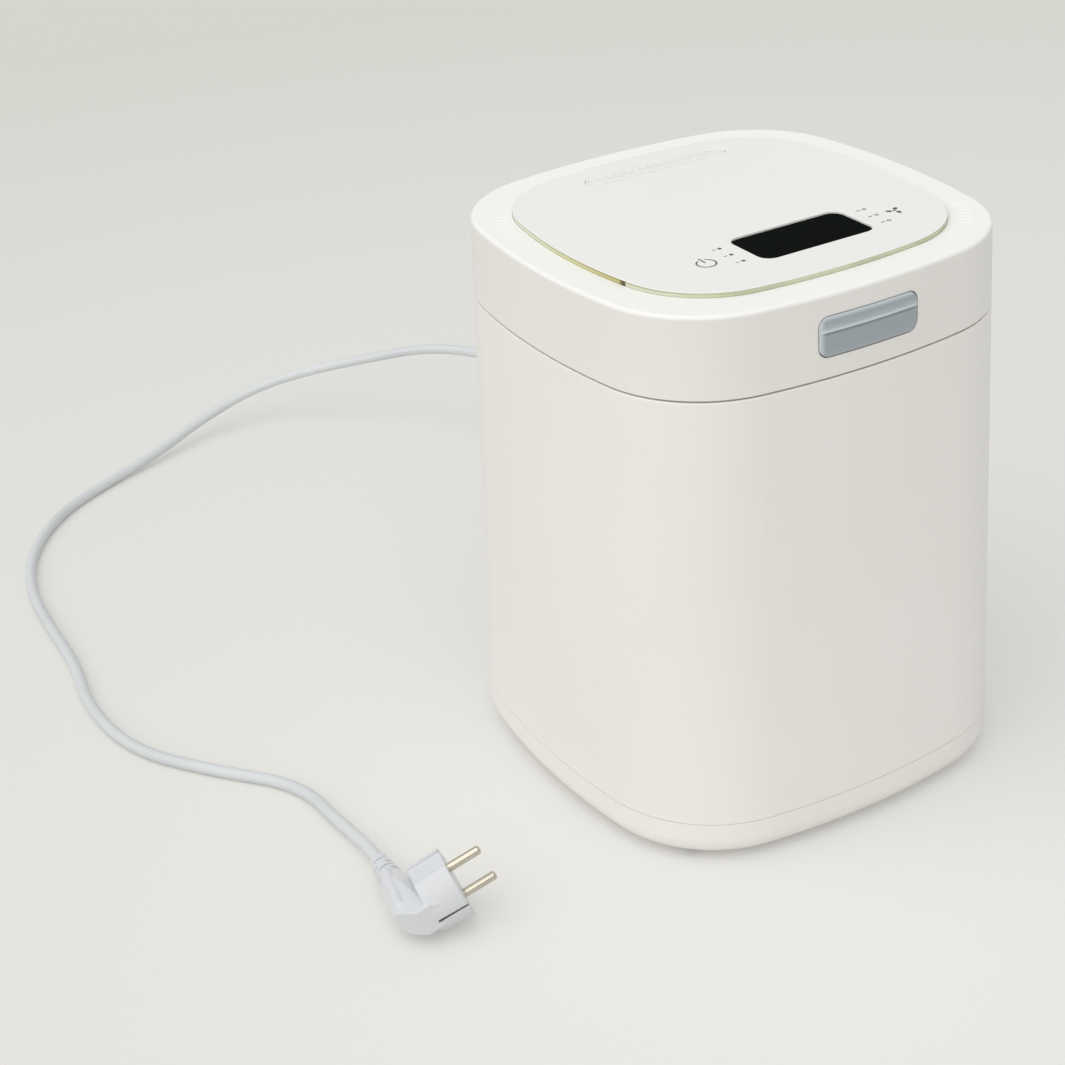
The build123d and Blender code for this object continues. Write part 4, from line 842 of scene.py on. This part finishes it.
def soft_copy(name, node, skin, rounds):
    """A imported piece's shape again, as one even skin with its edges softened."""
    piece = new_object(name, nodes[node].data.copy())
    tidy(piece.data)
    cover = piece.modifiers.new("skin", "REMESH")
    cover.mode = "VOXEL"
    cover.voxel_size = skin * MM
    cover.use_smooth_shade = True
    rounding = piece.modifiers.new("rounding", "SMOOTH")
    rounding.factor = SMOOTH_SHARE
    rounding.iterations = rounds
    mesh = evaluated_mesh(piece)
    piece.modifiers.clear()
    piece.data = mesh
    mesh.materials.clear()
    return piece


def along_profile(profile, place):
    """Height of a profile of (place, height) points."""
    for (low, height), (high, next_height) in zip(profile, profile[1:]):
        if low <= place <= high:
            return height + (next_height - height) * (place - low) / (high - low)
    return 0.0


def raise_rib(plate):
    """Smooths the plate's front to one bowed face and raises the finger rib on it."""
    half_w, half_h = BUTTON_W / 2 - BUTTON_FLAT, BUTTON_H / 2 - BUTTON_FLAT
    fronts, plain = [], []
    for vertex in plate.data.vertices:
        x, y, z = vertex.co / MM
        from_side, from_end = half_w - abs(x), half_h - abs(z - BUTTON_Z)
        if min(from_side, from_end) > 0 and vertex.normal.y < FACES_FRONT and y < FRONT_BEFORE_Y:
            fronts.append((vertex, x, z, from_side, from_end))
            if min(from_side, from_end) > FIT_INSET and not OLD_RIB_Z[0] < z < OLD_RIB_Z[1]:
                plain.append((1.0, x * x, x**4, z, y))
    plain = numpy.array(plain)
    bow = numpy.linalg.lstsq(plain[:, :4], plain[:, 4], rcond=None)[0]
    for vertex, x, z, from_side, from_end in fronts:
        fade = min(1.0, from_side / RIB_FADE)
        if from_end > BUTTON_FLAT_KEPT and fade > RIB_FADE_LEAST:
            front_y = float(bow @ (1.0, x * x, x**4, z))
            vertex.co.y = (front_y - fade * along_profile(RIB_PROFILE, z)) * MM


def painted_light_button():
    """Blue-grey satin plastic; painted highlights on edges and rib, painted shade under the rib."""
    material = moulded("button_grey", (158, 165, 171), (153, 160, 167), 0.36,
                       grain=1100.0, depth=0.00003)
    tree, shader, axes, drift = opened(material)
    left = -BUTTON_W / 2
    left_highlight_share = remap(tree, axes["X"], left * MM, (left + BUTTON_LEFT_HIGHLIGHT_W) * MM, low=1.0, high=0.0)
    tones = tones_along(tree, axes["Z"], BUTTON_PAINTED_LIGHT)
    highlighted = mix_colours(tree, left_highlight_share, tones, shown(*BUTTON_LEFT_HIGHLIGHT))
    fill(tree, shader, Base_Color=mix_colours(tree, BUTTON_DRIFT, highlighted, drift))
    return material


latch_plate = soft_copy("latch_plate", "latch_button", BUTTON_SKIN, BUTTON_ROUNDS)
raise_rib(latch_plate)
latch_plate.data.materials.append(painted_light_button())
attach(latch_plate, "latch_button")
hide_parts("latch_button")
dress(deck_grey, "latch_frame", "latch_hook")
spring_steel = worked_metal("spring_steel", (176, 178, 180), (150, 152, 156), 0.26,
                            stretch=(900.0, 900.0, 900.0))
latch_coils = new_object("latch_coils", nodes["latch_springs"].data.copy())
tidy(latch_coils.data)
latch_coils.data.materials.clear()
latch_coils.data.materials.append(spring_steel)
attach(latch_coils, "lid")
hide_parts("latch_springs")
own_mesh(latch_coils)

# ---- Screws --------------------------------------------------------------------------------------
# Zinc-plated pan-head thread-forming screws with a cross recess and a rolled thread. Each is driven
# home to an angle of its own, into moulded posts or, for the gear cover, the cast tub.
HEAD_FACETS, HEAD_RINGS, SHANK_FACETS = 28, 48, 14
THREAD_STEPS, THREAD_FACETS = 14, 4
# Shares of the head's radius and height, of the shank's radius, and of the tip's radius and length.
RECESS_LENGTH, RECESS_WIDTH, RECESS_AT = 1.16, 0.26, 0.95
CORE_R, CORE_SUNK, CREST_R = 0.78, 0.3, 0.16
TIP_LENGTH, TIP_LENGTH_MOST, TIP_OVERLAP = 1.2, 0.4, 0.1
TIP_WIDE_R, TIP_END_R = 0.97, 0.3
TRAY_SCREW = dict(Head_Radius=3.6, Head_Height=3.0, Shank_Radius=1.9, Shank_Length=22.0, Pitch=1.5)
DECK_SCREW = dict(Head_Radius=3.4, Head_Height=2.2, Shank_Radius=1.6, Shank_Length=18.5, Pitch=1.3)
POT_SCREW = dict(Head_Radius=2.3, Head_Height=1.8, Shank_Radius=1.4, Shank_Length=4.5, Pitch=0.9)
COVER_SCREW = dict(Head_Radius=4.0, Head_Height=2.6, Shank_Radius=2.2, Shank_Length=6.0, Pitch=1.2)
CIRCUIT_SCREW = dict(Head_Radius=3.0, Head_Height=2.0, Shank_Radius=1.5, Shank_Length=1.6,
                     Pitch=0.6)
PAN_SCREW = dict(Head_Radius=3.4, Head_Height=2.0, Shank_Radius=1.6, Shank_Length=14.0, Pitch=1.3)
TRAY_SEAT_Z, DECK_SEAT_Z, PAN_SEAT_Z = 24.0, 262.5, 270.0
COVER_SEAT_Z, CIRCUIT_SEAT_Z = 68.0, 21.6
POT_SCREWS, POT_SCREW_RING = 6, 101.4
BOARD_AT = 52.0
UP, DOWN = (0.0, 0.0, 1.0), (0.0, 0.0, -1.0)
TRAY_SEATS = [(x, y, TRAY_SEAT_Z) for x in (-94.5, 94.5) for y in (-95.5, 95.5)]
DECK_SEATS = [(x, y, DECK_SEAT_Z) for x in (-91.5, 91.5) for y in (-93.0, 93.0)]
COVER_SEATS = [(x, y, COVER_SEAT_Z) for x, y in ((51.0, -14.0), (-20.0, 66.0), (-40.0, -50.0))]
CIRCUIT_SEATS = [
    (BOARD_AT + x, BOARD_AT + y, CIRCUIT_SEAT_Z) for x in (-35.0, 35.0) for y in (-23.0, 23.0)
]
PAN_SEATS = [(x, y, PAN_SEAT_Z) for x in (-90.0, 90.0) for y in (-84.0, 84.0)]
pot_turns = [math.tau * n / POT_SCREWS for n in range(POT_SCREWS)]
pot_spots = [on_circle(Vector((0.0, 0.0)), POT_SCREW_RING, turn) for turn in pot_turns]
pot_seats = [(spot.x, spot.y, DECK_SEAT_Z) for spot in pot_spots]


class ScrewGroup(NodeGroup):
    """A node tree that sets a screw on every point of its seed."""

    def calc(self, operation, *values):
        """Result of a Math node."""
        return calc(self.tree, operation, *values)

    def times(self, value, share):
        """A length times a share, or times another length."""
        return self.calc("MULTIPLY", value, share)

    def at(self, x=0.0, y=0.0, z=0.0):
        """A place or size from its three parts."""
        return self.add("ShaderNodeCombineXYZ", X=x, Y=y, Z=z).outputs[0]

    def moved(self, geometry, **change):
        """Geometry shifted or turned."""
        return self.add("GeometryNodeTransform", Geometry=geometry, **change).outputs[0]

    def solid(self, operation, *meshes):
        """What closed meshes share, or what the others leave of the first."""
        node = self.add("GeometryNodeMeshBoolean", {"operation": operation, "solver": "EXACT"})
        if operation == "DIFFERENCE":
            self.tree.links.new(meshes[0], node.inputs["Mesh 1"])
            meshes = meshes[1:]
        for mesh in reversed(meshes):
            self.tree.links.new(mesh, node.inputs["Mesh 2"])
        return node.outputs["Mesh"]

    def head(self, radius, height):
        """Pan head: a drum met by a dome, with a cross recess."""
        half = self.times(height, 0.5)
        squares = self.calc("ADD", self.times(radius, radius), self.times(half, half))
        dome_r = self.calc("DIVIDE", squares, height)
        drum = self.add("GeometryNodeMeshCylinder", Vertices=HEAD_FACETS, Radius=radius,
                        Depth=height).outputs["Mesh"]
        drum = self.moved(drum, Translation=self.at(z=half))
        dome = self.add("GeometryNodeMeshUVSphere", Segments=HEAD_FACETS, Rings=HEAD_RINGS,
                        Radius=dome_r).outputs["Mesh"]
        dome_z = self.calc("SUBTRACT", height, dome_r)
        dome = self.moved(dome, Translation=self.at(z=dome_z))
        wing = self.at(self.times(radius, RECESS_LENGTH), self.times(radius, RECESS_WIDTH), height)
        recess = self.add("GeometryNodeMeshCube", Size=wing).outputs["Mesh"]
        recess = self.moved(recess, Translation=self.at(z=self.times(height, RECESS_AT)))
        across = self.moved(recess, Rotation=(0.0, 0.0, math.pi / 2))
        return self.solid("DIFFERENCE", self.solid("INTERSECT", drum, dome), recess, across)

    def shank(self, radius, length, pitch, head_height):
        """Core, blunt point and rolled thread, which overlap each other and the head a little."""
        core_r = self.times(radius, CORE_R)
        tip = self.calc("MINIMUM", self.times(radius, TIP_LENGTH),
                        self.times(length, TIP_LENGTH_MOST))
        core_l = self.calc("SUBTRACT", length, tip)
        below = self.times(core_l, -1.0)
        sunk = self.times(head_height, CORE_SUNK)
        core = self.add("GeometryNodeMeshCylinder", Vertices=SHANK_FACETS, Radius=core_r,
                        Depth=self.calc("ADD", core_l, sunk)).outputs["Mesh"]
        core_z = self.times(self.calc("SUBTRACT", sunk, core_l), 0.5)
        core = self.moved(core, Translation=self.at(z=core_z))
        point = self.add("GeometryNodeMeshCone", Vertices=SHANK_FACETS,
                         Radius_Bottom=self.times(core_r, TIP_WIDE_R),
                         Radius_Top=self.times(core_r, TIP_END_R),
                         Depth=self.times(tip, 1.0 + TIP_OVERLAP)).outputs["Mesh"]
        point_z = self.calc("ADD", below, self.times(tip, TIP_OVERLAP))
        point = self.moved(point, Rotation=(math.pi, 0.0, 0.0), Translation=self.at(z=point_z))
        crest = self.times(radius, CREST_R)
        wind_r = self.calc("SUBTRACT", radius, crest)
        wind = self.add("GeometryNodeCurveSpiral", Resolution=THREAD_STEPS,
                        Rotations=self.calc("DIVIDE", core_l, pitch), Start_Radius=wind_r,
                        End_Radius=wind_r, Height=core_l).outputs["Curve"]
        wind = self.moved(wind, Translation=self.at(z=below))
        ridge = self.add("GeometryNodeCurvePrimitiveCircle", Resolution=THREAD_FACETS, Radius=crest)
        thread = self.add("GeometryNodeCurveToMesh", Curve=wind,
                          Profile_Curve=ridge.outputs["Curve"], Fill_Caps=True).outputs[0]
        return thread, point, core


def pan_screw_tree():
    """Screws on the seed's points, each facing the point's way and in a turn of its own."""
    group = ScrewGroup("pan_screw", Head_Radius="Float", Head_Height="Float", Shank_Radius="Float",
                       Shank_Length="Float", Pitch="Float", Seed="Int", Finish="Material")
    given = group.given
    head = group.head(given["Head_Radius"], given["Head_Height"])
    shank = group.shank(given["Shank_Radius"], given["Shank_Length"], given["Pitch"],
                        given["Head_Height"])
    screw = group.add("GeometryNodeJoinGeometry")
    for part in (*shank, head):
        group.tree.links.new(part, screw.inputs[0])
    facing = group.add("GeometryNodeInputNamedAttribute", {"data_type": "FLOAT_VECTOR"},
                       Name="facing").outputs[0]
    upright = group.add("FunctionNodeAlignRotationToVector", {"axis": "Z"},
                        Vector=facing).outputs[0]
    driven = group.add("FunctionNodeRandomValue", {"data_type": "FLOAT"}, Seed=given["Seed"])
    feed(group.tree, driven.inputs[3], math.tau)
    spin = group.add("FunctionNodeAxisAngleToRotation", Angle=driven.outputs[1]).outputs[0]
    turned = group.add("FunctionNodeRotateRotation", {"rotation_space": "LOCAL"},
                       Rotation=upright, Rotate_By=spin).outputs[0]
    placed = group.add("GeometryNodeInstanceOnPoints", Points=given["Geometry"],
                       Instance=screw.outputs[0], Rotation=turned, Scale=(MM, MM, MM))
    group.finish(placed.outputs[0])
    return group


pan_screw = pan_screw_tree()


def screw_set(name, seats, way, seed, sizes):
    """Screws seated at these points, with their heads that way."""
    seat_mesh = loose_mesh(name + "_seats", seats)
    for entry in seat_mesh.data.attributes.new("facing", "FLOAT_VECTOR", "POINT").data:
        entry.vector = way
    return pan_screw.grow(name, seat_mesh, Seed=seed, Finish=zinc_steel, **sizes)


def joined(first, second):
    """One piece from two, in the first one's name."""
    work = bmesh.new()
    work.from_mesh(first.data)
    work.from_mesh(second.data)
    work.to_mesh(first.data)
    work.free()
    first.data.validate()
    bpy.data.objects.remove(second)
    return first


tray_screws = screw_set("tray_screw_set", TRAY_SEATS, DOWN, 3, TRAY_SCREW)
deck_screws = joined(
    screw_set("deck_screw_set", DECK_SEATS, UP, 5, DECK_SCREW),
    screw_set("pot_screw_set", pot_seats, UP, 8, POT_SCREW),
)
cover_screws = screw_set("cover_screw_set", COVER_SEATS, UP, 2, COVER_SCREW)
circuit_screws = screw_set("circuit_screw_set", CIRCUIT_SEATS, UP, 6, CIRCUIT_SCREW)
pan_screws = screw_set("pan_screw_set", PAN_SEATS, DOWN, 4, PAN_SCREW)
for piece, body, node in [
    (tray_screws, "housing", "base_screws"), (deck_screws, "housing", "deck_screws"),
    (cover_screws, "housing", "gearbox_screws"), (circuit_screws, "housing", "board_screws"),
    (pan_screws, "lid", "lid_screws"),
]:
    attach(piece, body)
    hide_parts(node)

# ---- Mains cord ----------------------------------------------------------------------------------
# A round three-core lead in soft white PVC, clamped in the gland at the bin and moulded into the
# plug. It leaves straight, droops to the floor and lies there in loose bends.
CORD_ROUTE = [
    (0.050, 0.162, 0.072), (0.050, 0.204, 0.072), (0.053, 0.252, 0.0726), (0.059, 0.302, 0.0724),
    (0.071, 0.354, 0.0705), (0.071, 0.409, 0.066), (0.048, 0.462, 0.059), (0.010, 0.493, 0.049),
    (-0.024, 0.525, 0.037), (-0.061, 0.548, 0.0245), (-0.109, 0.543, 0.0135),
    (-0.154, 0.523, 0.0065), (-0.200, 0.506, 0.0036), (-0.244, 0.482, 0.0036),
    (-0.280, 0.440, 0.0036), (-0.300, 0.388, 0.0036), (-0.305, 0.331, 0.0036),
    (-0.307, 0.279, 0.0036), (-0.318, 0.225, 0.0036), (-0.312, 0.166, 0.0036),
    (-0.281, 0.120, 0.0036), (-0.245, 0.078, 0.0036), (-0.243, 0.030, 0.0048),
    (-0.2412, -0.0008, 0.0078), (-0.2431, -0.0176, 0.0095),
]
CORD_DIAMETER = 0.007
CORD_SMOOTH, CORD_ROUND = 16, 6
cord_pvc = moulded("cord_pvc", (214, 217, 218), (204, 207, 209), 0.46,
                   grain=600.0, depth=0.00005, drift=12.0)
cord_curve = bpy.data.curves.new("mains_cord", "CURVE")
cord_curve.dimensions = "3D"
cord_curve.resolution_u = CORD_SMOOTH
cord_curve.bevel_depth = CORD_DIAMETER / 2
cord_curve.bevel_resolution = CORD_ROUND
cord_line = cord_curve.splines.new("NURBS")
cord_line.points.add(len(CORD_ROUTE) - 1)
for point, at in zip(cord_line.points, CORD_ROUTE):
    point.co = (*at, 1.0)
cord_line.order_u = 3
cord_line.use_endpoint_u = True
cord_curve.materials.append(cord_pvc)
mains_cord = new_object("mains_cord", cord_curve)
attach(mains_cord, "housing")
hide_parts("power_cord")
dress(cord_pvc, "cord_gland")

# ---- Plug ----------------------------------------------------------------------------------------
# An angled earthed two-pin plug moulded in one shot of PVC over its brass insert, with
# nickel-plated pins, side earth clips in their slots and a segmented relief for the cord. The clips
# are coloured dark grey as painted shade of their slots.
PLUG_SKIN, PLUG_ROUNDS = 0.40, 5
plug_pvc = moulded("plug_pvc", (216, 218, 221), (211, 213, 216), 0.40,
                   grain=500.0, depth=0.00005, drift=30.0)
nickel = worked_metal("nickel", (208, 202, 188), (196, 190, 176), 0.16,
                      stretch=(40.0, 40.0, 40.0), depth=0.000004)
# The earth clips are darkened as painted shade, to look like their shadowed slots.
clip_metal_painted_shade = worked_metal("clip_metal_painted_shade", (112, 110, 106), (88, 86, 84), 0.34,
                          stretch=(300.0, 300.0, 300.0))
moulded_plug = soft_copy("moulded_plug", "plug_body", PLUG_SKIN, PLUG_ROUNDS)
moulded_plug.data.materials.append(plug_pvc)
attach(moulded_plug, "housing")
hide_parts("plug_body")
dress(nickel, "plug_pins")
dress(clip_metal_painted_shade, "plug_earth_clips")
